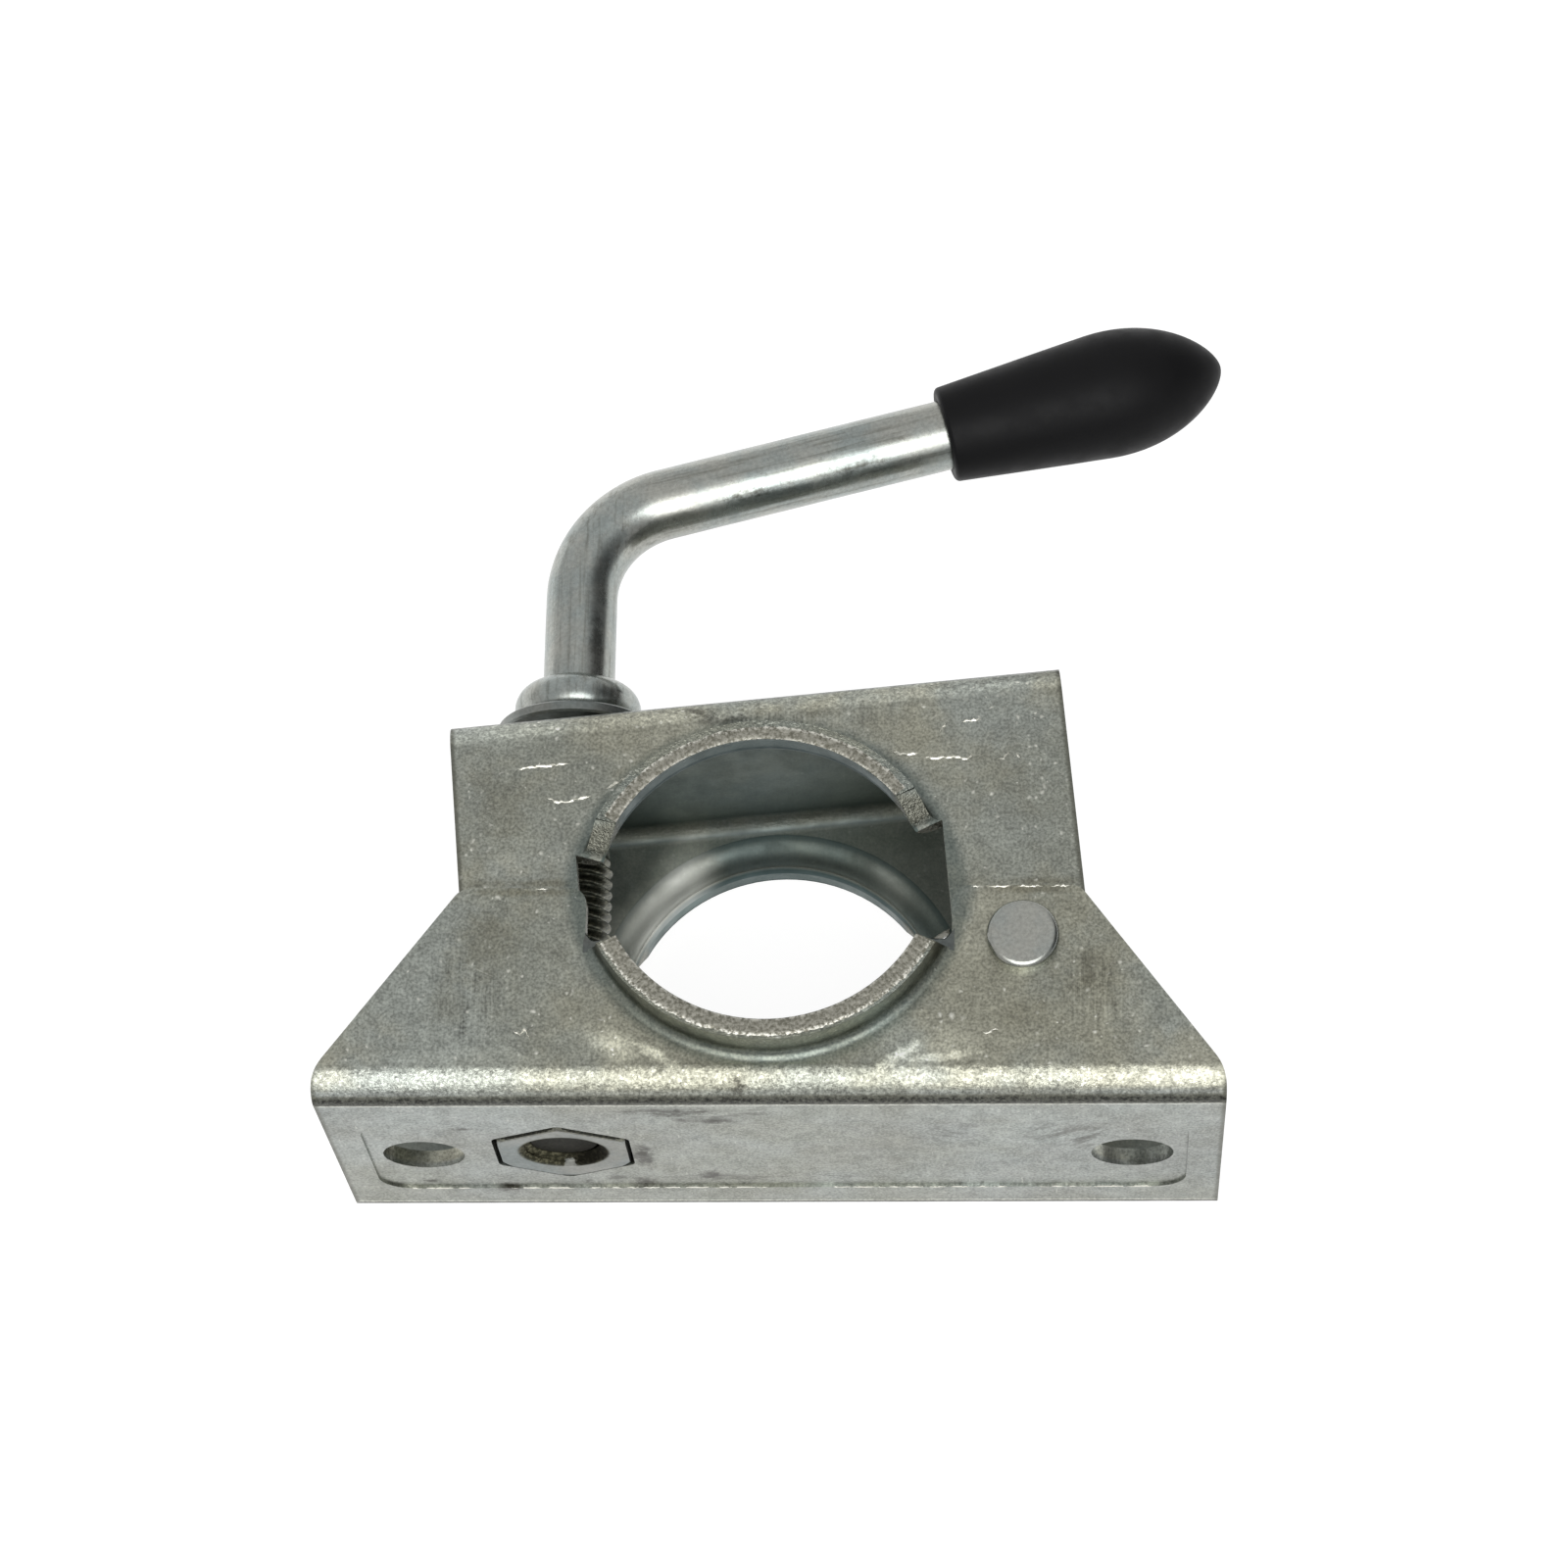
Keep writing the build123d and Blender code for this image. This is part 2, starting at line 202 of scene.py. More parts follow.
class Shader(Tree):
    """The nodes of a piece's material, on a Principled surface and in object coordinates."""

    def __init__(self, name):
        self.material = bpy.data.materials.new(name)
        super().__init__(self.material)
        self.place = self.add("TexCoord").outputs["Object"]
        self.facing = self.add("TexCoord").outputs["Normal"]
        self.surface = self.add("BsdfPrincipled")
        self.fed("OutputMaterial", {"Surface": self.surface.outputs[0]})

    def framed(self, centre, turn, size=(1, 1, 1)):
        """Object coordinates as seen from a frame with its own centre, turn and size."""
        given = {"Vector": self.place, "Location": centre, "Rotation": turn, "Scale": size}
        return self.fed("Mapping", given, vector_type="TEXTURE").outputs[0]

    def stretched(self, scale, turn=(0, 0, 0)):
        """Object coordinates, turned and then scaled along each axis."""
        turned = self.fed("Mapping", {"Vector": self.place, "Rotation": turn}).outputs[0]
        return self.vector("MULTIPLY", turned, scale)

    def specks(self, place, scale, size, share):
        """Small round specks, in a share of the cells of a lattice."""
        node = self.fed("TexVoronoi", {"Vector": place, "Scale": scale})
        pick = self.parts(node.outputs["Color"])
        chosen = self.step(pick[0], 1.02 - share, 1.04 - share)
        grown = self.product(pick[1], size)
        return self.product(chosen, self.step(node.outputs["Distance"], grown, 0.0))

    def noise(self, place, scale, detail=2.0, roughness=0.5, output="Fac"):
        given = {"Vector": place, "Scale": scale, "Detail": detail, "Roughness": roughness}
        return self.fed("TexNoise", given).outputs[output]

    def step_from(self, value, level, low, high):
        """A smooth step from 0 to 1 between two offsets from a level, in mm."""
        return self.step(value, level + low * MM, level + high * MM)

    def band(self, value, start, full, still_full, end):
        """A mask that is 1 from full to still_full, and fades out towards start and end."""
        return self.product(self.step(value, start, full), self.step(value, end, still_full))

    def blend(self, share, first, second):
        """A colour that goes from the first to the second."""
        node = self.add("Mix", data_type="RGBA")
        self.link(share, node.inputs[0])
        self.link(rgba(first), node.inputs[6])
        self.link(rgba(second), node.inputs[7])
        return node.outputs[2]

    def axis(self, index):
        """One of the object's own coordinates."""
        return self.parts(self.place)[index]

    def product(self, *values):
        total = values[0]
        for value in values[1:]:
            total = self.math("MULTIPLY", total, value)
        return total

    def scaled(self, colour, factor):
        """A colour made lighter or darker by a factor."""
        return self.vector("SCALE", colour, factor)

    def near(self, ragged, blots, raggedness, softness=0.6, detail=5):
        """A mask that rises towards its strength inside any of a few ragged ellipsoids."""
        edge = self.math("MULTIPLY_ADD", self.noise(ragged, raggedness, detail, 0.75), 2.4, -1.2)
        total = 0.0
        for centre, size, strength, *turn in blots:
            centre, size = ([value * MM for value in given] for given in (centre, size))
            local = self.framed(centre, turn or (0, 0, 0), size)
            reach = self.math("ADD", self.vector("LENGTH", local), edge)
            total = self.math("MAXIMUM", total, self.step(reach, 1.0, 1.0 - softness, 0.0, strength))
        return total

    def bump(self, height, distance, strength, under=None):
        """Bumps of a depth in mm, on top of others where given."""
        given = {"Strength": strength, "Distance": distance * MM, "Height": height}
        if under:
            given["Normal"] = under
        return self.fed("Bump", given).outputs[0]

    def finish(self, colour, roughness, normal, metallic=1.0):
        given = {"Base Color": rgba(colour), "Roughness": roughness, "Normal": normal, "Metallic": metallic}
        for name, source in given.items():
            self.link(source, self.surface.inputs[name])
        return self.material


# Base colours of the zinc and of what lies on it, and colours of painted shade and painted highlight
OLIVE = (0.368, 0.366, 0.300)
TEAL = (0.318, 0.338, 0.308)
PALE = (0.78, 0.78, 0.70)
# Painted shade inside the pressings, in their throats and bores and on their collars' walls and roots; DIM
# is the painted shade on their level inner faces
SHADE = (0.041, 0.074, 0.075)
DIM = (0.105, 0.135, 0.135)
# Painted highlight on the hidden inner faces
PAINTED_HIGHLIGHT = (0.42, 0.43, 0.415)
# Painted shade at the foot of the bends, and the darker colour of the sheet's two ends
DARK_BAND = (0.10, 0.10, 0.08)
DIRT = (0.045, 0.042, 0.032)
CUT_EDGE = (0.17, 0.165, 0.13)

# One of the two pressings: its body, its seat's centre and turn, the side that its web lies on, its
# faces, how far it reaches to either side, and the rims of its collars (width in mm)
Pressing = namedtuple("Pressing", "body centre tilt side face_z rim_z web ends rim_half_angle rim_width")
# A pressing's seed, how much painted shade it has inside, how much painted highlight on the top and middle
# of its bends, and how strongly the foot of its bends takes painted shade and a pale crease line
Look = namedtuple("Look", "seed gloom top_light middle_light strain")
# What stands out on a pressing: dark blots, press lines, streaks and patches of painted highlight, darker
# tones (some of them painted shadow), and scuffs
Marks = namedtuple("Marks", "blots drawn streaks sheens tones scuffs")
# Where a point lies on a pressing, in the pressing's own axes, and which way its surface faces
Spot = namedtuple("Spot", "across ahead height radius outward upward")
JAW_CENTRE = Matrix.Rotation(JAW_CLOSED, 3, "Z") @ -JAW_PIVOT + JAW_PIVOT


def sheet_ends(node, centre, tilt):
    """How far a pressing reaches to either side of its seat."""
    back = Matrix.Rotation(-tilt, 3, "Z")
    across = [(back @ (vertex.co - centre)).x for vertex in nodes[node].data.vertices]
    return min(across), max(across)


BRACKET = Pressing(
    body="bracket", centre=SEAT_CENTRE, tilt=0.0, side=-1,
    face_z=27.0 * MM, rim_z=33.0 * MM, web=30.4 * MM,
    ends=sheet_ends("bracket", SEAT_CENTRE, 0.0),
    rim_half_angle=math.radians(61.5), rim_width=2.55,
)
JAW = Pressing(
    body="jaw", centre=JAW_CENTRE, tilt=JAW_CLOSED, side=1,
    face_z=23.7 * MM, rim_z=28.0 * MM, web=31.4 * MM,
    ends=sheet_ends("clamp_jaw", JAW_CENTRE, JAW_CLOSED),
    rim_half_angle=math.radians(56.5), rim_width=2.0,
)


def collar_zones(s, press, spot):
    """The half collars: rim, outer wall, root, ramped ends, flared throat and bore."""
    face_z = press.face_z
    near_seat = s.step_from(spot.radius, COLLAR_R, 1.2, 0.6)
    above = s.step_from(spot.height, face_z, 0.2, 1.2)
    beyond_rims = s.step(spot.ahead, 14.5 * MM, 12.8 * MM)
    low_root = s.step_from(spot.height, face_z, 1.6, 0.5)
    past_root = s.step_from(spot.radius, COLLAR_R, 3.2, 1.0)
    beside_root = s.step_from(spot.radius, COLLAR_R, -1.0, -0.3)
    on_face = s.step_from(spot.height, face_z, -0.6, -0.1)
    beyond_foot = s.math("SUBTRACT", spot.radius, FOOT_R)
    over_lip = s.math("SUBTRACT", spot.height, face_z + LIP_RISE)
    from_lip = s.fed("CombineXYZ", {"X": beyond_foot, "Y": over_lip}).outputs[0]
    flared = s.step(s.vector("LENGTH", from_lip), 3.9 * MM, 4.2 * MM)
    below_lip = s.step(spot.height, face_z + 1.7 * MM, face_z + LIP_RISE)
    return {
        "rim": s.step_from(spot.height, press.rim_z, -0.35, -0.15),
        "wall": s.product(near_seat, above),
        "root": s.product(low_root, past_root, beside_root, on_face),
        "ends": s.product(near_seat, above, beyond_rims),
        "throat": s.product(flared, s.step(spot.radius, FOOT_R + 0.2 * MM, FOOT_R), below_lip),
        "bore": s.step_from(spot.radius, SEAT_R, 0.25, 0.1),
    }


def bend_zones(s, press, spot):
    """The bends with their turns, the strip at their foot that takes painted shade and the crease there, and
    the web.
    """
    face_z = press.face_z
    bend_low = s.step_from(spot.height, face_z, -6.0, -4.5)
    bend = s.product(bend_low, s.step_from(spot.ahead, press.web, -2.0, -0.8))
    on_bend = s.step_from(spot.ahead, press.web, 0.7, 1.3)
    below_turn = s.step_from(spot.height, face_z, -1.8, -2.5)
    above_end = s.step_from(spot.height, face_z, -4.75, -4.5)
    crease_low = s.step_from(spot.height, face_z, -5.1, -4.95)
    crease_high = s.step_from(spot.height, face_z, -4.55, -4.75)
    return {
        "bend": bend,
        "bend_top": s.product(bend, s.band(spot.outward, 0.04, 0.16, 0.4, 0.62)),
        "bend_middle": s.product(bend, s.band(spot.outward, 0.4, 0.66, 0.86, 0.95)),
        "bend_foot": s.product(bend, s.band(spot.outward, 0.86, 0.955, 0.99, 0.999)),
        "shaded_foot": s.product(on_bend, below_turn, above_end),
        "crease": s.product(on_bend, crease_low, crease_high),
        "web": s.step_from(spot.ahead, press.web, 1.5, 2.2),
    }


def sheet_zones(s, press, spot):
    """The sheet's inner side, its level faces, its cut edges and its two ends."""
    face_z = press.face_z
    inner_web = s.step_from(spot.ahead, press.web, 0.15, -0.05)
    inner_z = face_z - SHEET
    under_face = s.step_from(spot.height, inner_z, 0.15, -0.1)
    upright = s.step(spot.upward, 0.5, 0.3)
    edge_low = s.step(spot.height, inner_z, inner_z + 0.1 * MM)
    edge_high = s.step_from(spot.height, face_z, -0.05, -0.2)
    before_bend = s.step_from(spot.ahead, press.web, -1.2, -2.2)
    low_end, high_end = press.ends
    at_low = s.step_from(spot.across, low_end, 0.9, 0.25)
    at_high = s.step_from(spot.across, high_end, -0.9, -0.25)
    return {
        "inside": s.product(inner_web, under_face),
        "level": s.step(spot.upward, 0.8, 0.95),
        "cut": s.product(upright, edge_low, edge_high, before_bend),
        "sheet_end": s.math("MAXIMUM", at_low, at_high),
    }


def pressing_zones(s, press):
    """Masks for all the parts of a pressing, by name."""
    local = s.framed(press.centre, (0, 0, press.tilt))
    own = s.parts(local)
    normal = s.parts(s.facing)
    spot = Spot(
        across=own[0],
        ahead=s.product(own[1], press.side),
        height=s.math("ABSOLUTE", own[2]),
        radius=s.vector("LENGTH", s.vector("MULTIPLY", local, (1, 1, 0))),
        outward=s.product(normal[1], press.side),
        upward=s.math("ABSOLUTE", normal[2]),
    )
    return {**collar_zones(s, press, spot), **bend_zones(s, press, spot), **sheet_zones(s, press, spot)}


def stained_zinc(s, offset, on_web, tones):
    """The plate's own colours: olive and teal stains, blotches and patches, a bluer web and the given darker
    tones, some of which are painted shadow.
    """
    stain = s.noise(offset, 38, 4, 0.65)
    colour = s.blend(s.step(stain, 0.4, 0.6), OLIVE, TEAL)
    blotch = s.step(s.noise(offset, 110, 5, 0.7), 0.5, 0.72)
    colour = s.blend(s.product(blotch, 0.26), colour, (0.2, 0.195, 0.15))
    clouds = s.step(s.noise(offset, 55, 4, 0.6), 0.35, 0.65)
    web_tone = s.blend(clouds, (0.245, 0.256, 0.24), (0.305, 0.33, 0.317))
    colour = s.blend(s.product(on_web, 0.85), colour, web_tone)
    patches = s.step(s.noise(offset, 26, 3, 0.6), 0.42, 0.62)
    colour = s.blend(s.product(patches, 0.4), colour, (0.238, 0.236, 0.182))
    # Darker tones: stains, and on the jaw also painted shadow lines behind the bracket's rear edges
    stain_and_shadow = s.near(offset, tones, 170, 1.0, 4)
    return s.blend(s.product(stain_and_shadow, 0.62), colour, (0.17, 0.16, 0.112))


def grain_shade(s, offset, grain, calm):
    """A factor for the plate's fine light and dark grain, which fades where the plate is calm."""
    mottle = s.noise(offset, 480, 4, 0.7)
    shade = s.product(s.step(grain, 0.25, 0.75, 0.68, 1.32), s.step(mottle, 0.3, 0.7, 0.87, 1.13))
    return s.math("MULTIPLY_ADD", s.math("SUBTRACT", shade, 1.0), calm, 1.0)


def die_lines(s, offset, places):
    """Fine parallel lines from the press tool, faint but in the places given."""
    drawn = s.noise(s.stretched((2300, 110, 110)), 1, 3, 0.65)
    amount = s.math("ADD", 0.15, s.near(offset, places, 60, 0.9))
    return s.product(amount, s.math("SUBTRACT", drawn, 0.5))


def pale_flecks(s, offset, on_web, calm):
    """Specks of brighter zinc in loose clusters, fewer on the web."""
    clusters = s.step(s.noise(offset, 170, 4, 0.75), 0.44, 0.6, 0.12, 1.0)
    bent = s.vector("ADD", offset, s.vector("SCALE", s.noise(offset, 700, output="Color"), 1.2 * MM))
    flecks = s.math("MAXIMUM", s.specks(bent, 1100, 0.55, 0.4), s.specks(bent, 520, 0.3, 0.3))
    return s.product(flecks, s.product(clusters, calm, s.step(on_web, 0.0, 1.0, 1.0, 0.3)))


def with_scratches(s, colour, calm):
    """Adds fine pale scratches in two directions."""
    for turn, amount in ((0.45, 0.35), (2.2, 0.3)):
        scratch = s.step(s.noise(s.stretched((240, 3000, 240), (0, 0, turn)), 1, 3, 0.7), 0.67, 0.73)
        colour = s.blend(s.product(scratch, calm, amount), colour, PALE)
    return colour


def with_dirt(s, offset, colour, marks):
    """Adds specks of grime, dark blots and scuffed strokes."""
    grime = s.step(s.noise(offset, 330, 5, 0.78), 0.66, 0.8)
    colour = s.blend(s.product(grime, 0.6), colour, DIRT)
    colour = s.blend(s.product(s.near(offset, marks.blots, 650, 0.85), 0.92), colour, DIRT)
    for turn, places in marks.scuffs:
        strokes = s.step(s.noise(s.stretched((90, 300, 480), (0, turn, 0)), 1, 4, 0.8), 0.47, 0.57)
        colour = s.blend(s.product(s.near(offset, places, 200, 0.95, 3), strokes, 0.8), colour, DIRT)
    return colour


def with_shade(s, colour, zone, look, sheen):
    """Paints shade on the inside, the throat, the bore and the collars' walls and roots, the inside and
    throat less under a painted highlight; paints shade at the foot of the bends with a pale line in their
    crease, gives the collars' ends their cut colour and darkens the sheet's two ends.
    """
    unlit = s.math("MULTIPLY_ADD", sheen, -0.8, 1.0)
    unlit = s.product(unlit, s.math("MULTIPLY_ADD", zone["bend"], -0.55, 1.0))
    # Painted shade on the inside, throat, bore, collar walls and roots and at the foot of the bends; a pale
    # line in the crease, cut colour on the collars' ends, darker sheet ends
    for place, amount, tone in (
        ("inside", s.product(unlit, 0.84 * look.gloom), s.blend(zone["level"], SHADE, DIM)),
        ("throat", s.product(unlit, 0.7 * look.gloom), SHADE),
        ("bore", 0.86, SHADE),
        ("wall", 0.3, SHADE),
        ("root", 0.5, SHADE),
        ("ends", 0.72, CUT_EDGE),
        ("shaded_foot", 0.85 * look.strain, DARK_BAND),
        ("crease", 0.5 * look.strain, PALE),
        ("sheet_end", 0.72, DARK_BAND),
    ):
        colour = s.blend(s.product(zone[place], amount), colour, tone)
    return colour


def bend_light(s, offset, zone, look, calm):
    """A factor for the bends: grainy, with painted highlight at the top and in the middle and painted shade
    at the foot.
    """
    skin = s.noise(offset, 1500, 3, 0.75)
    grainy = s.product(zone["bend"], calm, s.step(skin, 0.3, 0.7, -0.4, 0.45))
    # Painted highlight on the top and middle of the bends, painted shade at their foot
    lit = s.math("MULTIPLY_ADD", zone["bend_top"], look.top_light, s.math("ADD", grainy, 1.0))
    lit = s.math("MULTIPLY_ADD", zone["bend_middle"], look.middle_light, lit)
    return s.math("MULTIPLY_ADD", zone["bend_foot"], -0.55, lit)


def sheet_relief(s, offset, zone, fine, flecks):
    """The plate's bumps: grain, flecks, skin stretched on the bends, soft waves and rough cuts."""
    normal = s.bump(fine, 0.02, 0.55)
    normal = s.bump(flecks, 0.05, 0.6, normal)
    stretched_skin = s.product(zone["bend"], s.noise(offset, 1900, 3, 0.75))
    normal = s.bump(stretched_skin, 0.12, 0.9, normal)
    normal = s.bump(s.noise(offset, 95, 3, 0.55), 0.3, 0.4, normal)
    rough_cut = s.math("MAXIMUM", s.math("MAXIMUM", zone["rim"], zone["cut"]), zone["ends"])
    return s.bump(s.product(rough_cut, s.noise(s.place, 1700, 3, 0.7)), 0.3, 0.9, normal)


def zinc_sheet(name, press, look, marks):
    """Zinc plate on pressed sheet: stains, flecks, scuffs, press lines and dark cut edges, with painted
    shade inside and along the collars and bend feet, and painted highlights.
    """
    s = Shader(name)
    zone = pressing_zones(s, press)
    offset = s.vector("ADD", s.place, (look.seed, 2 * look.seed, 3 * look.seed))
    hidden = s.math("MAXIMUM", zone["inside"], zone["throat"])
    calm = s.math("MULTIPLY_ADD", hidden, -0.75, 1.0)
    grain = s.noise(offset, 2400, 2, 0.6)
    lines = die_lines(s, offset, marks.drawn)
    flecks = pale_flecks(s, offset, zone["web"], calm)
    # Streaks of painted highlight
    streak_highlight = s.near(offset, marks.streaks, 800, 0.9)
    # Patches of painted highlight
    sheen = s.near(offset, marks.sheens, 45, 1.0, 1)

    colour = stained_zinc(s, offset, zone["web"], marks.tones)
    colour = s.scaled(colour, s.math("MULTIPLY_ADD", lines, 1.6, grain_shade(s, offset, grain, calm)))
    colour = with_scratches(s, s.blend(flecks, colour, PALE), calm)
    colour = with_dirt(s, offset, colour, marks)
    colour = with_shade(s, colour, zone, look, sheen)
    colour = s.blend(s.product(zone["cut"], s.step(grain, 0.3, 0.6, 0.5, 0.95)), colour, CUT_EDGE)
    # Painted highlight: a pale grey where a highlight patch lies on the hidden inner faces
    colour = s.blend(s.product(hidden, sheen, 0.7), colour, PAINTED_HIGHLIGHT)
    # Painted highlights: the streaks and patches lighten the colour
    bright = s.math("MULTIPLY_ADD", streak_highlight, 1.6, 1.0)
    bright = s.product(bright, s.math("MULTIPLY_ADD", sheen, 1.15, 1.0))
    colour = s.scaled(colour, s.product(bright, bend_light(s, offset, zone, look, calm)))

    fine = s.product(s.math("MULTIPLY_ADD", lines, 3.0, grain), calm)
    roughness = s.step(s.noise(offset, 260, 3, 0.6), 0.3, 0.7, 0.31, 0.45)
    roughness = s.math("MULTIPLY_ADD", hidden, 0.17, roughness)
    return s.finish(colour, roughness, sheet_relief(s, offset, zone, fine, flecks))


def torn_zinc(name, press):
    """Sheared metal under zinc: tan and serrated, with bright burrs along both edges."""
    s = Shader(name)
    flat = s.vector("MULTIPLY", s.vector("SUBTRACT", s.place, press.centre), (1, 1, 0))
    radius = s.vector("LENGTH", flat)
    grit = s.noise(s.place, 1900, 3, 0.7)
    colour = s.blend(s.step(grit, 0.3, 0.7), (0.17, 0.165, 0.13), (0.42, 0.41, 0.355))
    outer = s.step(radius, SEAT_R + (press.rim_width - 0.6) * MM, SEAT_R + (press.rim_width - 0.1) * MM)
    inner = s.step(radius, SEAT_R + 0.45 * MM, SEAT_R + 0.15 * MM)
    edges = s.math("MAXIMUM", outer, s.product(inner, 0.4))
    burr = s.product(edges, s.step(grit, 0.42, 0.6))
    colour = s.blend(burr, colour, (0.85, 0.84, 0.76))
    normal = s.bump(grit, 0.1, 0.7)
    roughness = s.step(grit, 0.3, 0.7, 0.34, 0.5)
    return s.finish(colour, roughness, normal)


def bright_burr(name):
    """Bare bright zinc on a raised press mark."""
    s = Shader(name)
    colour = s.blend(s.noise(s.place, 900, 2, 0.6), (0.7, 0.69, 0.6), (0.95, 0.94, 0.86))
    return s.finish(colour, 0.5, s.bump(s.noise(s.place, 2000, 2, 0.6), 0.03, 0.5))


def zinc_bar(name, tone=1.0, grease_and_shade_masks=None, blots=(), dull=0.0, streaky=None):
    """Zinc plate on bar, rivet, washer and nut: smoother than on sheet, and streaky where told. Grease,
    painted shade and near black go where told.
    """
    s = Shader(name)
    tint = s.step(s.noise(s.place, 70, 4, 0.65), 0.35, 0.65)
    colour = s.scaled(s.blend(tint, (0.50, 0.505, 0.462), (0.40, 0.445, 0.432)), tone)
    marks = s.step(s.noise(s.place, 420, 5, 0.75), 0.6, 0.72)
    colour = s.blend(s.product(marks, 0.55), colour, (0.15, 0.15, 0.13))
    if streaky:
        colour = s.blend(streaky(s), colour, (0.15, 0.15, 0.125))
    if blots:
        colour = s.blend(s.product(s.near(s.place, blots, 800, 0.85), 0.8), colour, DIRT)
    grain = s.noise(s.place, 1900, 2, 0.6)
    colour = s.scaled(colour, s.step(grain, 0.25, 0.75, 0.87, 1.13))
    roughness = s.step(s.noise(s.place, 200, 3, 0.6), 0.3, 0.7, 0.2 + dull, 0.32 + dull)
    if grease_and_shade_masks:
        # Brown for grease and painted shade, with near black over it
        grease_and_shade, near_black = grease_and_shade_masks(s)
        brown = s.blend(s.step(grain, 0.4, 0.7), (0.05, 0.049, 0.03), (0.2, 0.19, 0.125))
        colour = s.blend(near_black, s.blend(grease_and_shade, colour, brown), (0.012, 0.011, 0.009))
        roughness = s.math("MULTIPLY_ADD", grease_and_shade, 0.15, roughness)
        roughness = s.math("MULTIPLY_ADD", near_black, 0.35, roughness)
    normal = s.bump(s.noise(s.place, 700, 3, 0.6), 0.015, 0.5)
    normal = s.bump(s.noise(s.place, 130, 3, 0.6), 0.13, 0.35, normal)
    return s.finish(colour, roughness, normal)


def drawn_streaks(s):
    """How strongly long streaks from drawing the bar darken its leg and its arm."""
    leg = s.noise(s.stretched((1100, 45, 1100)), 1, 3, 0.7)
    arm = s.noise(s.stretched((45, 1100, 1100), (0, 0, -ARM_RISE)), 1, 3, 0.7)
    on_arm = s.step(s.axis(0), -27 * MM, -17 * MM)
    streaks = s.math("MULTIPLY_ADD", s.math("SUBTRACT", arm, leg), on_arm, leg)
    return s.step(streaks, 0.48, 0.68, 0.0, 0.5)


def grease_on_thread(s):
    """Grease along the screw's thread, and near black on its part inside the nut."""
    along = s.axis(1)
    threaded = s.step(along, 15 * MM, 12 * MM, 0.0, 0.8)
    return threaded, s.step(along, -24 * MM, -27 * MM, 0.0, 0.9)


def grease_and_shade_in_nut(s):
    """Grease on the nut's thread but for one bare spot where it glints, painted shade in the clearance along
    its upper flats, and painted shade on the thread towards its right.
    """
    own = s.vector("SUBTRACT", s.place, (SCREW_X, 0, 0))
    radius = s.vector("LENGTH", s.vector("MULTIPLY", own, (1, 0, 1)))
    thread = s.step(radius, 7.0 * MM, 6.3 * MM)
    glint = s.near(s.place, NUT_GLINT, 900, 0.5)
    thread = s.product(thread, s.math("SUBTRACT", 1.0, glint))
    sideways = s.vector("MULTIPLY", s.vector("ABSOLUTE", own), (0.5, 0, 0))
    to_flat = s.math("MULTIPLY_ADD", s.axis(2), math.sqrt(0.75), s.vector("LENGTH", sideways))
    low_flat_r = NUT_FLAT_R - NUT_DROP * math.sqrt(0.75)
    # Painted shade in the clearance along the nut's upper flats
    gap_shade = s.step(to_flat, low_flat_r - 0.7 * MM, low_flat_r - 0.3 * MM, 0.0, 0.6)
    # Painted shade, darkening the nut's thread towards its right
    darker = s.step(s.axis(0), SCREW_X - 3 * MM, SCREW_X + 3 * MM, 0.15, 0.85)
    return s.math("MAXIMUM", thread, gap_shade), s.product(thread, darker)


def black_plastic(name):
    """Moulded black plastic with a soft satin sheen."""
    s = Shader(name)
    colour = s.blend(s.noise(s.place, 90, 3, 0.6), (0.0055, 0.0055, 0.006), (0.009, 0.009, 0.0095))
    normal = s.bump(s.noise(s.place, 2600, 2, 0.6), 0.008, 0.4)
    roughness = s.step(s.noise(s.place, 300, 3, 0.6), 0.3, 0.7, 0.42, 0.52)
    s.surface.inputs["Specular IOR Level"].default_value = 0.1
    return s.finish(colour, roughness, normal, metallic=0.0)


def placed(name, data):
    """A new object in the scene that shows a mesh, camera or lamp."""
    thing = bpy.data.objects.new(name, data)
    bpy.context.scene.collection.objects.link(thing)
    return thing


def wear(piece, material):
    """Gives a piece the material in place of what it has."""
    piece.data.materials.clear()
    piece.data.materials.append(material)


def piece_from(name, vertices, faces, material, body, sharp_angle=35):
    """A closed mesh piece, smooth but for its sharp edges, riding on a body."""
    mesh = bpy.data.meshes.new(name)
    mesh.from_pydata(vertices, [], faces)
    shape = bmesh.new()
    shape.from_mesh(mesh)
    bmesh.ops.recalc_face_normals(shape, faces=shape.faces)
    limit = math.radians(sharp_angle)
    for edge in shape.edges:
        edge.smooth = edge.calc_face_angle(0) < limit
    for face in shape.faces:
        face.smooth = True
    shape.to_mesh(mesh)
    shape.free()
    mesh.materials.append(material)
    piece = placed(name, mesh)
    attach(piece, body)
    return piece


def ring_faces(rings, around):
    """Quads between each ring of vertices and the next."""
    faces = []
    for ring in range(rings - 1):
        for k in range(around):
            a, b = ring * around + k, ring * around + (k + 1) % around
            faces.append((a, b, b + around, a + around))
    return faces


# A ring of vertices round the bar: its centre, one of its two directions, and its radius by turn
Ring = namedtuple("Ring", "centre across radius_at")


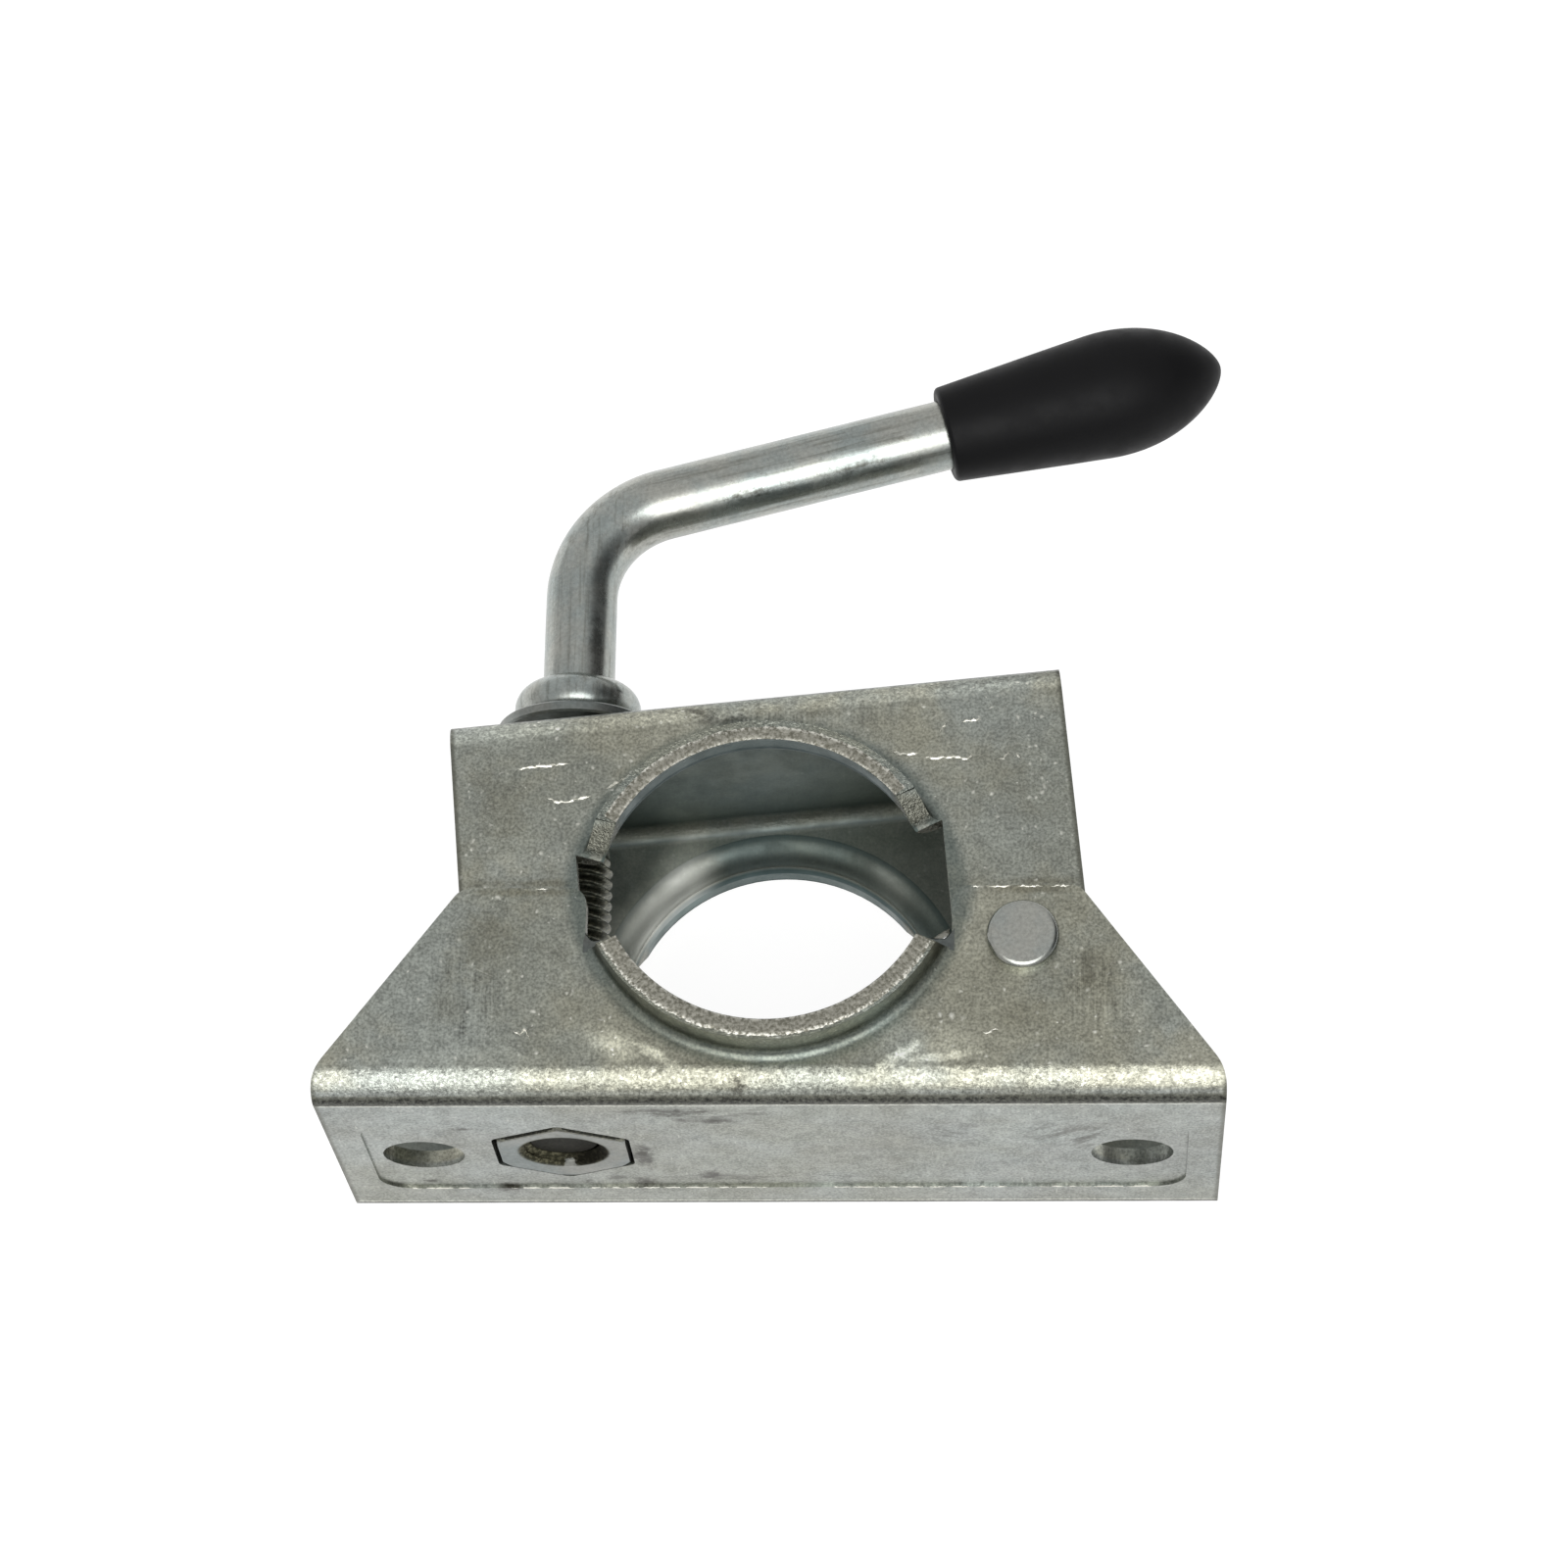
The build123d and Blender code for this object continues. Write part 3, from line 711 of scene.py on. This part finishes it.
def arc_through(first, middle, last, count):
    """Points on the arc through three points of a plane."""
    (ax, ay), (bx, by), (cx, cy) = first, middle, last
    d = 2 * (ax * (by - cy) + bx * (cy - ay) + cx * (ay - by))
    squares = [x * x + y * y for x, y in (first, middle, last)]
    ux = (squares[0] * (by - cy) + squares[1] * (cy - ay) + squares[2] * (ay - by)) / d
    uy = (squares[0] * (cx - bx) + squares[1] * (ax - cx) + squares[2] * (bx - ax)) / d
    radius = math.hypot(ax - ux, ay - uy)
    angles = [math.atan2(y - uy, x - ux) for x, y in (first, middle, last)]
    if (angles[2] - angles[0]) % TURN < (angles[1] - angles[0]) % TURN:
        sweep = -((angles[0] - angles[2]) % TURN)
    else:
        sweep = (angles[2] - angles[0]) % TURN
    steps = [angles[0] + sweep * i / (count - 1) for i in range(count)]
    return [(ux + radius * math.cos(a), uy + radius * math.sin(a)) for a in steps]


def thread_depth(along, turn):
    """How far the thread's flank lies below its crest, along the screw and round it."""
    phase = (along / THREAD_PITCH - turn / TURN) % 1.0
    from_crest = min(phase, 1 - phase)
    crest, flank = 1 / 16, 0.354
    share = min(max((from_crest - crest) / flank, 0.0), 1.0)
    return 0.6134 * THREAD_PITCH * (share - 0.06 * math.sin(TURN * share))


def evenly(radius):
    """The same radius all round."""
    return lambda turn: radius


def straight_ring(y, radius_at):
    """A ring round the screw or the leg."""
    return Ring(Vector((SCREW_X, y, 0)), Vector((1, 0, 0)), radius_at)


def thread_rings(tip_y):
    """The screw from its chamfered tip to where its thread runs out."""
    rings = [straight_ring(tip_y, evenly(0.0))]
    steps = round(THREAD_LENGTH / (THREAD_PITCH / RINGS_PER_PITCH))
    for i in range(steps + 1):
        along = THREAD_LENGTH * i / steps
        chamfered = THREAD_R - max(TIP_CHAMFER - along, 0)
        fade = min((THREAD_LENGTH - along) / THREAD_FADE, 1.0)

        def radius_at(turn, along=along, chamfered=chamfered, fade=fade):
            cut = THREAD_R - thread_depth(along + tip_y, turn)
            full = ROD_R + (cut - ROD_R) * fade
            return min(full, chamfered)

        rings.append(straight_ring(tip_y + along, radius_at))
    return rings


def bead_rings(bead_y):
    """The upset bead that presses on the washer."""
    crown = (BEAD_CROWN_R, BEAD_HEIGHT / 2)
    profile = arc_through((BEAD_FOOT_R, 0), crown, (ROD_R - 0.2 * MM, BEAD_HEIGHT), BEAD_STEPS)
    rings = [straight_ring(bead_y - 0.02 * MM, evenly(ROD_R))]
    rings += [straight_ring(bead_y + rise, evenly(radius)) for radius, rise in profile if radius > ROD_R]
    rings.append(straight_ring(bead_y + BEAD_HEIGHT, evenly(ROD_R)))
    return rings


def arm_rings():
    """The bend and the arm, as far as its closed end inside the grip."""
    bend_angle = math.pi / 2 - ARM_RISE
    bend_run = ARM_BEND_R * math.tan(bend_angle / 2)
    centre = Vector((SCREW_X + ARM_BEND_R, CORNER_Y - bend_run, 0))
    rings = []
    for i in range(ARM_BEND_STEPS + 1):
        angle = bend_angle * i / ARM_BEND_STEPS
        outward = Vector((-math.cos(angle), math.sin(angle), 0))
        rings.append(Ring(centre + outward * ARM_BEND_R, -outward, evenly(ROD_R)))
    across_arm = Vector((math.sin(ARM_RISE), -math.cos(ARM_RISE), 0))
    corner = Vector((SCREW_X, CORNER_Y, 0))
    for distance in (bend_run + 12 * MM, ARM_END - 30 * MM, ARM_END):
        rings.append(Ring(corner + ALONG_ARM * distance, across_arm, evenly(ROD_R)))
    rings.append(Ring(corner + ALONG_ARM * ARM_END, across_arm, evenly(0.0)))
    return rings


def screw_handle(material):
    """The bent bar with its rolled thread and upset bead, as rings along the bar's centre line."""
    around = 72
    tip_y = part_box("handle_rod")[0][1]
    bead_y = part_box("washer")[1][1] + WASHER_GAP
    rings = thread_rings(tip_y) + bead_rings(bead_y) + arm_rings()
    up = Vector((0, 0, 1))
    vertices = []
    for ring in rings:
        for k in range(around):
            turn = TURN * k / around
            spoke = up * math.cos(turn) + ring.across * math.sin(turn)
            vertices.append(ring.centre + spoke * ring.radius_at(turn))
    faces = ring_faces(len(rings), around)
    piece = piece_from("screw_handle", vertices, faces, material, "handle")
    tidy_poles(piece)
    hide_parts("handle_rod")


def short_grip(material):
    """The grip with its mouth drawn back a little along the arm, as the photograph shows it."""
    mesh = nodes["handle_grip"].data.copy()
    reach = [vertex.co.dot(ALONG_ARM) for vertex in mesh.vertices]
    mouth = min(reach)
    for vertex, distance in zip(mesh.vertices, reach):
        share = max(0.0, 1 - (distance - mouth) / GRIP_TAPER)
        vertex.co += ALONG_ARM * (GRIP_DRAWN_BACK * share)
    piece = placed("grip", mesh)
    wear(piece, material)
    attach(piece, "handle")
    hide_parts("handle_grip")


def tidy_poles(piece):
    """Merges the rings that were drawn to a point at both ends of a piece."""
    shape = bmesh.new()
    shape.from_mesh(piece.data)
    bmesh.ops.remove_doubles(shape, verts=shape.verts, dist=0.001 * MM)
    shape.to_mesh(piece.data)
    shape.free()


def captive_nut(material):
    """A hexagon nut with chamfered corners and a real thread in its bore."""
    around = 96
    near_y = NUT_LOW[1]
    height = NUT_HIGH[1] - near_y
    corner_r = NUT_FLAT_R / math.cos(math.pi / 6)
    face_r = NUT_FLAT_R * NUT_FACE_SHARE
    drop = (corner_r - face_r) * math.tan(NUT_CHAMFER_ANGLE)
    bore_r = THREAD_R + THREAD_CLEARANCE

    def hexagon(turn):
        return NUT_FLAT_R / math.cos(turn % (TURN / 6) - TURN / 12)

    def outside(depth):
        cone = face_r + min(depth, height - depth) / math.tan(NUT_CHAMFER_ANGLE)
        return lambda turn: min(hexagon(turn), cone)

    def thread_at(depth):
        from_end = min(depth, height - depth)
        mouth = NUT_MOUTH_R - from_end

        def radius_at(turn):
            cut = bore_r - thread_depth(near_y + depth, turn)
            return max(cut, bore_r - NUT_THREAD_SHARE * THREAD_PITCH, mouth)

        return radius_at

    corner_depths = [drop * i / NUT_CHAMFER_STEPS for i in range(NUT_CHAMFER_STEPS + 1)]
    outer_depths = corner_depths + [height - depth for depth in reversed(corner_depths)]
    bore_steps = round(height / (THREAD_PITCH / RINGS_PER_PITCH))
    bore_depths = [height * (1 - i / bore_steps) for i in range(bore_steps + 1)]
    rings = [(depth, outside(depth), NUT_DROP) for depth in outer_depths]
    rings += [(depth, thread_at(depth), 0.0) for depth in bore_depths]
    vertices = []
    for depth, radius_at, lowered in rings:
        for k in range(around):
            turn = TURN * k / around
            radius = radius_at(turn)
            up = radius * math.cos(turn) - lowered
            vertices.append((SCREW_X + radius * math.sin(turn), near_y + depth, up))
    faces = ring_faces(len(rings), around)
    last = (len(rings) - 1) * around
    faces += [(last + k, last + (k + 1) % around, (k + 1) % around, k) for k in range(around)]
    piece = piece_from("threaded_nut", vertices, faces, material, "bracket", 25)
    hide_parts("captive_nut")


def ripple(x, y, z):
    """Smooth noise at a point."""
    return noise.noise(Vector((x, y, z)))


def torn_rim(name, press, side, material, seed):
    """The rough, sheared face along a collar's rim, as a thin slab that sinks into the rim."""
    across, along = 9, 420
    sunk = 0.15 * MM
    toward = press.tilt + press.side * math.pi / 2
    top, bottom = [], []
    for i in range(along + 1):
        angle = toward - press.rim_half_angle + 2 * press.rim_half_angle * i / along
        outward = Vector((math.cos(angle), math.sin(angle), 0))
        serration = 0.5 * ripple(angle * 75, seed, 0) + 0.3 * ripple(angle * 170, seed, 4)
        ragged = 0.22 * ripple(angle * 48, seed + 3, 0) + 0.2 * ripple(angle * 9, seed + 5, 0)
        for j in range(across + 1):
            share = j / across
            reach = SEAT_R + (0.02 + (press.rim_width - 0.02 + ragged) * share) * MM
            waves = ripple(angle * 14, share * 1.7, seed + 7)
            burr = 0.05 * max(0.0, 1 - 6 * abs(share - 0.9))
            lift = 0.09 + 0.05 * waves + 0.1 * serration + burr
            edge = min(1.0, 4 * share, 4 * (1 - share))
            foot = press.centre + outward * reach
            top.append(foot + Vector((0, 0, side * (press.rim_z + lift * MM * edge))))
            bottom.append(foot + Vector((0, 0, side * (press.rim_z - sunk))))
    row = across + 1
    count = len(top)
    faces = []
    for i in range(along):
        for j in range(across):
            a = i * row + j
            faces.append((a, a + 1, a + row + 1, a + row))
            faces.append((count + a, count + a + row, count + a + row + 1, count + a + 1))
        for j in (0, across):
            a = i * row + j
            faces.append((a, a + row, count + a + row, count + a))
    for i in (0, along):
        for j in range(across):
            a = i * row + j
            faces.append((a, a + 1, count + a + 1, count + a))
    piece_from(name, top + bottom, faces, material, press.body, 50)


def torn_corner(name, x_side, z_side, material):
    """The torn web in the corner between one of the bracket's collar ends and the notch beside it."""
    edge_steps = 8
    notch_x, foot_y = BRACKET_NOTCH_X, -math.sqrt(FOOT_R**2 - BRACKET_NOTCH_X**2)
    overlap = 0.3 * MM
    height, depth = 3.4 * MM, 3.7 * MM
    corner = Vector((notch_x + overlap, foot_y - overlap))
    upper = Vector((notch_x + overlap, foot_y + height))
    inner = Vector((notch_x - depth, foot_y + 1.9 * MM))
    outline = [corner, upper]
    for i in range(1, edge_steps):
        share = i / edge_steps
        straight = upper.lerp(inner, share)
        outline.append(straight.lerp(corner, 0.3 * math.sin(math.pi * share)))
    outline.append(inner)
    outline.append(Vector((notch_x - 3.3 * MM, foot_y + overlap)))
    count = len(outline)
    vertices, faces = [], []
    for z, shrink in ((24.4, 0.0), (26.6, 0.0), (27.05, 0.12)):
        for k, point in enumerate(outline):
            wander = ripple(k * 1.7, z, x_side + 2 * z_side) * 0.18 * MM
            pulled = point.lerp(corner, shrink)
            x = x_side * (pulled.x + wander * 0.5)
            vertices.append((x, pulled.y + wander, z_side * (z * MM + wander)))
    faces = ring_faces(3, count)
    faces += [tuple(range(count)), tuple(range(2 * count, 3 * count))]
    piece_from(name, vertices, faces, material, "bracket", 40)


def press_mark(name, points, face, width, height, material, seed):
    """A fine raised line left by the press tool, wandering through a few points of a face, in mm."""
    rng = random.Random(seed)
    dense = []
    for (ax, ay), (bx, by) in zip(points, points[1:]):
        steps = max(2, round(math.hypot(bx - ax, by - ay) / MARK_STEP))
        dense += [(ax + (bx - ax) * i / steps, ay + (by - ay) * i / steps) for i in range(steps)]
    dense.append(points[-1])
    vertices = []
    for i, (x, y) in enumerate(dense):
        before, after = dense[max(i - 1, 0)], dense[min(i + 1, len(dense) - 1)]
        run = Vector((after[0] - before[0], after[1] - before[1]))
        across = Vector((-run.y, run.x)).normalized()
        taper = min(1.0, (i + 0.4) / 3, (len(dense) - i - 0.6) / 3)
        half = width / 2 * taper * rng.uniform(0.4, 1.2)
        middle = Vector((x, y)) + across * rng.uniform(-MARK_WANDER, MARK_WANDER)
        left, right = middle + across * half, middle - across * half
        crest = height * taper * rng.uniform(0.5, 1.0)
        for point, lift in ((left, -MARK_SUNK), (middle, crest), (right, -MARK_SUNK)):
            vertices.append(face.lay(point.x, point.y, lift) * MM)
    last = len(vertices) - 1
    faces = ring_faces(len(dense), 3)
    faces += [(0, 1, 2), (last, last - 1, last - 2)]
    piece_from(name, vertices, faces, material, face.body, 15)


def on_flange(press):
    """Lays a mark on a pressing's upper face."""
    return lambda x, y, lift: Vector((x, y, press.face_z / MM + lift))


def inside_jaw(x, y, lift):
    """Lays a mark on the upper side of the jaw's lower flange."""
    return Vector((x, y, (SHEET - JAW.face_z) / MM + lift))


def on_web(x, z, lift):
    """Lays a mark on the bracket's bolted face."""
    return Vector((x, WEB_FACE_Y / MM - lift, z))


# A face of a piece: how a mark is laid on it, and the body that it moves with
Face = namedtuple("Face", "lay body")
BRACKET_TOP = Face(on_flange(BRACKET), "bracket")
BRACKET_WEB = Face(on_web, "bracket")
JAW_TOP = Face(on_flange(JAW), "jaw")
JAW_FLOOR = Face(inside_jaw, "jaw")


def broken_line(name, start, end, face, share, width, height, material, seed):
    """A straight burr that comes and goes along its length, in mm."""
    rng = random.Random(seed)
    length = math.dist(start, end)
    at, count = 0.0, 0
    while at < length:
        run = min(rng.uniform(0.8, 4.5), length - at)
        if run > 0.6 and rng.random() < share:
            points = [
                tuple(a + (b - a) * (at + step) / length for a, b in zip(start, end))
                for step in (0, run / 2, run)
            ]
            press_mark(f"{name}_{count}", points, face, width, height, material, seed + count)
            count += 1
        at += run + rng.uniform(0.15, 0.8)


def camera():
    """The camera at the photograph's own viewing angle."""
    run = math.cos(VIEW_ELEVATION)
    forward = Vector((math.sin(VIEW_YAW) * run, math.cos(VIEW_YAW) * run, -math.sin(VIEW_ELEVATION)))
    level = Vector((math.cos(VIEW_YAW), -math.sin(VIEW_YAW), 0))
    rise = level.cross(forward)
    right = level * math.cos(VIEW_ROLL) + rise * math.sin(VIEW_ROLL)
    up = rise * math.cos(VIEW_ROLL) - level * math.sin(VIEW_ROLL)
    data = bpy.data.cameras.new("camera")
    data.sensor_width = SENSOR_WIDTH
    data.lens = SENSOR_WIDTH * FOCAL_PIXELS / IMAGE_PIXELS
    data.clip_start = 0.01
    eye = placed("camera", data)
    turned = Matrix((right, up, -forward)).transposed().to_4x4()
    eye.matrix_world = Matrix.Translation(VIEW_TARGET - forward * VIEW_DISTANCE) @ turned
    bpy.context.scene.camera = eye


def white_floor(name):
    """White to the camera and in reflections, and grey under the light, so that shadows stay soft."""
    material = bpy.data.materials.new(name)
    t = Tree(material)
    path = t.add("LightPath").outputs
    seen = t.math("MAXIMUM", path["Is Camera Ray"], path["Is Glossy Ray"])
    seen = t.math("MAXIMUM", seen, path["Is Transmission Ray"])
    diffuse = t.fed("BsdfDiffuse", {"Color": (FLOOR_GREY, FLOOR_GREY, FLOOR_GREY, 1)})
    glow = t.fed("Emission", {"Strength": t.math("MULTIPLY", seen, FLOOR_GLOW)})
    both = t.add("AddShader")
    t.link(diffuse.outputs[0], both.inputs[0])
    t.link(glow.outputs[0], both.inputs[1])
    t.fed("OutputMaterial", {"Surface": both.outputs[0]})
    return material


def pale_floor():
    """A wide white floor under the clamp, which keeps a soft shadow."""
    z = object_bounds()[0][2] - FLOOR_GAP
    turns = [TURN * k / FLOOR_SIDES for k in range(FLOOR_SIDES)]
    rim = [(FLOOR_R * math.cos(turn), FLOOR_R * math.sin(turn), z) for turn in turns]
    mesh = bpy.data.meshes.new("floor")
    mesh.from_pydata(rim, [], [tuple(range(FLOOR_SIDES))])
    floor = placed("floor", mesh)
    mesh.materials.append(white_floor("floor_white"))


def studio_light():
    """Soft light from all round: brightest overhead and in front, dim near the horizon."""
    world = bpy.data.worlds.new("studio")
    bpy.context.scene.world = world
    t = Tree(world)
    direction = t.add("TexCoord").outputs["Generated"]
    total = WORLD_LEVEL
    for toward, low, high, strength in LIGHT_LOBES:
        facing = t.vector("DOT_PRODUCT", direction, Vector(toward).normalized())
        total = t.math("ADD", total, t.step(facing, low, high, 0.0, strength))
    background = t.fed("Background", {"Strength": total})
    t.fed("OutputWorld", {"Surface": background.outputs[0]})


def key_lamp():
    """A soft lamp in front of the clamp and high above it."""
    data = bpy.data.lights.new("key", "AREA")
    data.size = KEY_SIZE
    data.energy = KEY_WATTS
    lamp = placed("key", data)
    lamp.location = KEY_PLACE
    lamp.rotation_euler = (KEY_AIM - KEY_PLACE).to_track_quat("-Z", "Y").to_euler()


# The world's brighter and darker parts: a direction, the cosines where each begins and is full, and
# how much it adds
LIGHT_LOBES = (
    ((0.0, -0.55, 0.83), 0.78, 0.97, 1.45),
    ((0.0, -0.85, 0.50), 0.85, 0.98, 0.7),
    ((0.0, 0.10, 1.0), 0.85, 0.99, 0.25),
    ((0.0, 0.95, 0.3), 0.5, 1.0, 0.3),
    ((0.2, 0.45, 0.87), 0.75, 1.0, 0.15),
    ((-0.95, 0.25, 0.2), 0.3, 1.0, 0.35),
    ((0.0, -1.0, 0.05), 0.75, 0.97, -0.36),
    ((0.85, 0.3, 0.42), 0.75, 0.98, -0.38),
)

BRACKET_LOOK = Look(seed=0.1, gloom=0.6, top_light=0.2, middle_light=0.22, strain=1.0)
JAW_LOOK = Look(seed=0.5, gloom=1.0, top_light=0.45, middle_light=0.1, strain=0.3)

# What stands out on each pressing: centre and half lengths in mm, strength, and turn in radians where
# it has one. Each row of scuffs begins with the turn of its strokes.
LEVEL_SCUFFS = (
    ((-12, -33, 18), (15, 2, 4), 1),
    ((-3, -33, -13), (20, 2, 3), 0.5),
)
BRACKET_MARKED = Marks(
    blots=(
        ((-41, -33, -16.2), (2.8, 1, 2), 1),
        ((-20.2, -33, -14.4), (2.5, 1, 3.8), 1),
        ((-24.5, -33, -12), (2.4, 1, 1.6), 0.6),
        ((-29, -33, -13.8), (1.2, 1, 1.8), 0.7),
        ((-52.4, -33, -13.3), (1.5, 1, 1.5), 1),
        ((-10.2, -33, -11.4), (2.2, 1, 2.8), 1),
        ((-14, -33, 19.2), (8.5, 1, 2.2), 1, 0, -0.05, 0),
        ((-9, -33, 15.2), (7, 1, 1.8), 1, 0, 0.05, 0),
        ((-19.6, -33, -1.5), (1.9, 1, 7), 1),
        ((-45.2, -33, 10.7), (2, 1, 0.8), 0.8),
        ((45.6, -14.3, 27), (2.2, 3.4, 1), 0.4),
        ((-4, -31.5, 25.5), (1.7, 2, 3), 0.9),
    ),
    drawn=(
        ((-43, -19, 27), (7, 9, 8), 1),
        ((47, -18.5, 27), (5, 7, 8), 1),
    ),
    # Streaks of painted highlight where the flanges dip beside the collars' feet
    streaks=(
        ((-16, -27.3, 27), (4.8, 1.2, 3), 1, 0, 0, -0.5),
        ((-21.5, -25.8, 27), (5.2, 2.4, 3), 0.5, 0, 0, -0.4),
        ((18.9, -27.5, 27), (4.6, 1.3, 3), 1, 0, 0, 0.55),
        ((24, -28, 27), (7.5, 1, 3), 0.7, 0, 0, 0.12),
    ),
    # Patches of painted highlight beside the collars' feet, near the bend and on the collar's wall
    sheens=(
        ((-24, -25.5, 27), (10, 4.5, 3), 0.22, 0, 0, -0.5),
        ((27, -26.5, 27), (11, 3.5, 3), 0.22, 0, 0, 0.3),
        ((-42, -28.5, 27), (13, 2.5, 3), 0.18),
        ((15, -22, 30), (9, 7, 4), 0.35, 0, 0, 0.7),
    ),
    tones=(
        ((-41.5, -11.5, 27), (8, 7, 4), 0.75, 0, 0, 0.6),
        ((-46, -20, 27), (4, 5, 4), 0.5),
        ((46, -16.5, 27), (7, 6, 4), 0.6),
        ((37.5, -21.5, 27), (8, 3.5, 4), 0.5),
        ((-35, -2.6, 27), (12, 0.9, 1.5), 0.9),
        ((38, -2.6, 27), (9, 0.9, 1.5), 0.9),
        ((-50, -33, 0), (6, 1, 14), 0.4),
    ),
    scuffs=(
        (0, LEVEL_SCUFFS),
        (0.75, (((44, -33, 8), (9, 2, 8), 0.8),)),
        (-0.5, (((25, -33, 7), (9, 2, 8), 0.5),)),
    ),
)
JAW_MARKED = Marks(
    blots=(
        ((-11, 27.2, 23.7), (4.6, 2.2, 2), 0.65, 0, 0, -0.6),
        ((7.8, 23.1, 23.7), (0.8, 0.7, 1), 1),
        ((-2, 22.3, 23.7), (0.9, 0.7, 1), 1),
        ((-6, 25.6, 23.7), (3.4, 1.1, 1), 0.7, 0, 0, 0.2),
    ),
    drawn=(((0, 25.5, 23.7), (16, 2.4, 4), 1),),
    streaks=(),
    # Patches of painted highlight, the largest on the lower collar's flared throat
    sheens=(
        ((-19.8, 14, -22.5), (6, 16, 8), 1, 0, 0, -0.62),
        ((16.5, 16.5, -21), (3, 9, 6), 0.3, 0, 0, 0.8),
        ((-36, 25, 23.7), (12, 3.4, 3), 0.2, 0, 0, 0.1),
        ((-38, 6, 23.7), (7, 6, 3), 0.12),
    ),
    tones=(
        ((35, 16, 23.7), (8, 9, 4), 0.45),
        ((-40, 12, 23.7), (6, 9, 4), 0.55),
        ((-4, 27.5, 23.7), (14, 2, 3), 0.6),
        # Painted shadow: thin dark lines behind the bracket's rear edges
        ((-34, 0, 23.7), (13, 1, 1.5), 0.9),
        ((39, 0, 23.7), (8, 1, 1.5), 0.9),
    ),
    scuffs=(),
)
NUT_GLINT = (((-30.9, -32.6, -6.4), (1.3, 1.4, 1.1), 1),)
ARM_BLOTS = (
    ((-5.5, 71.6, 5), (10, 1.5, 2), 1, 0, 0, 0.26),
    ((10, 76, 5), (9, 1.2, 2), 0.9, 0, 0, 0.26),
    ((-24, 62, 5), (2, 5, 2), 0.6, 0, 0, -0.5),
    ((-28.5, 47, 4.5), (1.2, 7, 2), 0.5),
)

# Fine raised lines that the press tool left on the upper flanges and the bolted face, in mm
JAW_MARKS = (
    ((-37.5, 18), (-34.2, 18.5), (-29.9, 18.9)),
    ((-33.1, 13.5), (-31.4, 12.9), (-30.1, 12.8), (-28.7, 13.2), (-26.2, 13.7)),
    ((-24.5, 14.7), (-22.6, 15.9), (-20.1, 17.2)),
    ((24.3, 23.3), (25.5, 25)),
    ((27.5, 25.1), (30.4, 25.4)),
    ((17.1, 20.5), (19, 20), (21.5, 20)),
    ((22, 19.6), (23.5, 19.3), (26.1, 19.5), (28.4, 19.2), (29.4, 20.2)),
    ((32.7, 19.1), (33.7, 19.2), (34.7, 20.4)),
    ((35.6, 20.1), (36.2, 19)),
)
BRACKET_MARKS = (
    ((-36.2, -23.7), (-35.2, -24.3), (-34.6, -23.4), (-33.5, -25.2)),
    ((30.6, -24.1), (31.1, -24.4), (32.1, -23.8), (32.9, -23.8)),
)

# Burrs that come and go along a line: name, both ends, face, share that shows, width, height and seed
BURR_LINES = (
    ("rear_burr_left", (-41, -2.1), (-29, -2.1), BRACKET_TOP, 0.6, 0.34, 0.08, 40),
    ("rear_burr_right", (29, -2.1), (44, -2.1), BRACKET_TOP, 0.8, 0.4, 0.09, 60),
    ("inner_burr", (-20.5, 24.4), (-8.5, 25.6), JAW_FLOOR, 0.8, 0.3, 0.06, 70),
    ("panel_burr", (-56, -15.95), (56, -15.95), BRACKET_WEB, 0.88, 0.5, 0.08, 80),
)

wear(nodes["bracket"], zinc_sheet("zinc_bracket", BRACKET, BRACKET_LOOK, BRACKET_MARKED))
wear(nodes["clamp_jaw"], zinc_sheet("zinc_jaw", JAW, JAW_LOOK, JAW_MARKED))
wear(nodes["hinge_rivet"], zinc_bar("zinc_rivet", 0.8))
wear(nodes["washer"], zinc_bar("zinc_washer", 0.5, dull=0.1))
short_grip(black_plastic("black_plastic"))
screw_handle(zinc_bar("zinc_screw", 0.82, grease_on_thread, ARM_BLOTS, streaky=drawn_streaks))
captive_nut(zinc_bar("zinc_nut", 0.52, grease_and_shade_in_nut, dull=0.2))

torn_bracket = torn_zinc("torn_bracket", BRACKET)
torn_jaw = torn_zinc("torn_jaw", JAW)
for side, word in ((1, "top"), (-1, "bottom")):
    torn_rim("bracket_rim_" + word, BRACKET, side, torn_bracket, 1.0 + side)
    torn_rim("jaw_rim_" + word, JAW, side, torn_jaw, 5.0 + side)
dull_torn = zinc_bar("dull_torn", 0.3)
for z_side, height_word in ((1, "top"), (-1, "low")):
    for x_side, side_word in ((-1, "left"), (1, "right")):
        torn_corner(f"torn_corner_{height_word}_{side_word}", x_side, z_side, dull_torn)

burr_zinc = bright_burr("bright_burr")
for face, lines, first_seed in ((JAW_TOP, JAW_MARKS, 0), (BRACKET_TOP, BRACKET_MARKS, 20)):
    for number, points in enumerate(lines):
        name = f"{face.body}_mark_{number}"
        press_mark(name, points, face, MARK_WIDTH, MARK_HEIGHT, burr_zinc, first_seed + number)
for name, start, end, face, share, width, height, seed in BURR_LINES:
    broken_line(name, start, end, face, share, width, height, burr_zinc, seed)

camera()
pale_floor()
studio_light()
key_lamp()

scene = bpy.context.scene
scene.view_settings.view_transform = "Standard"
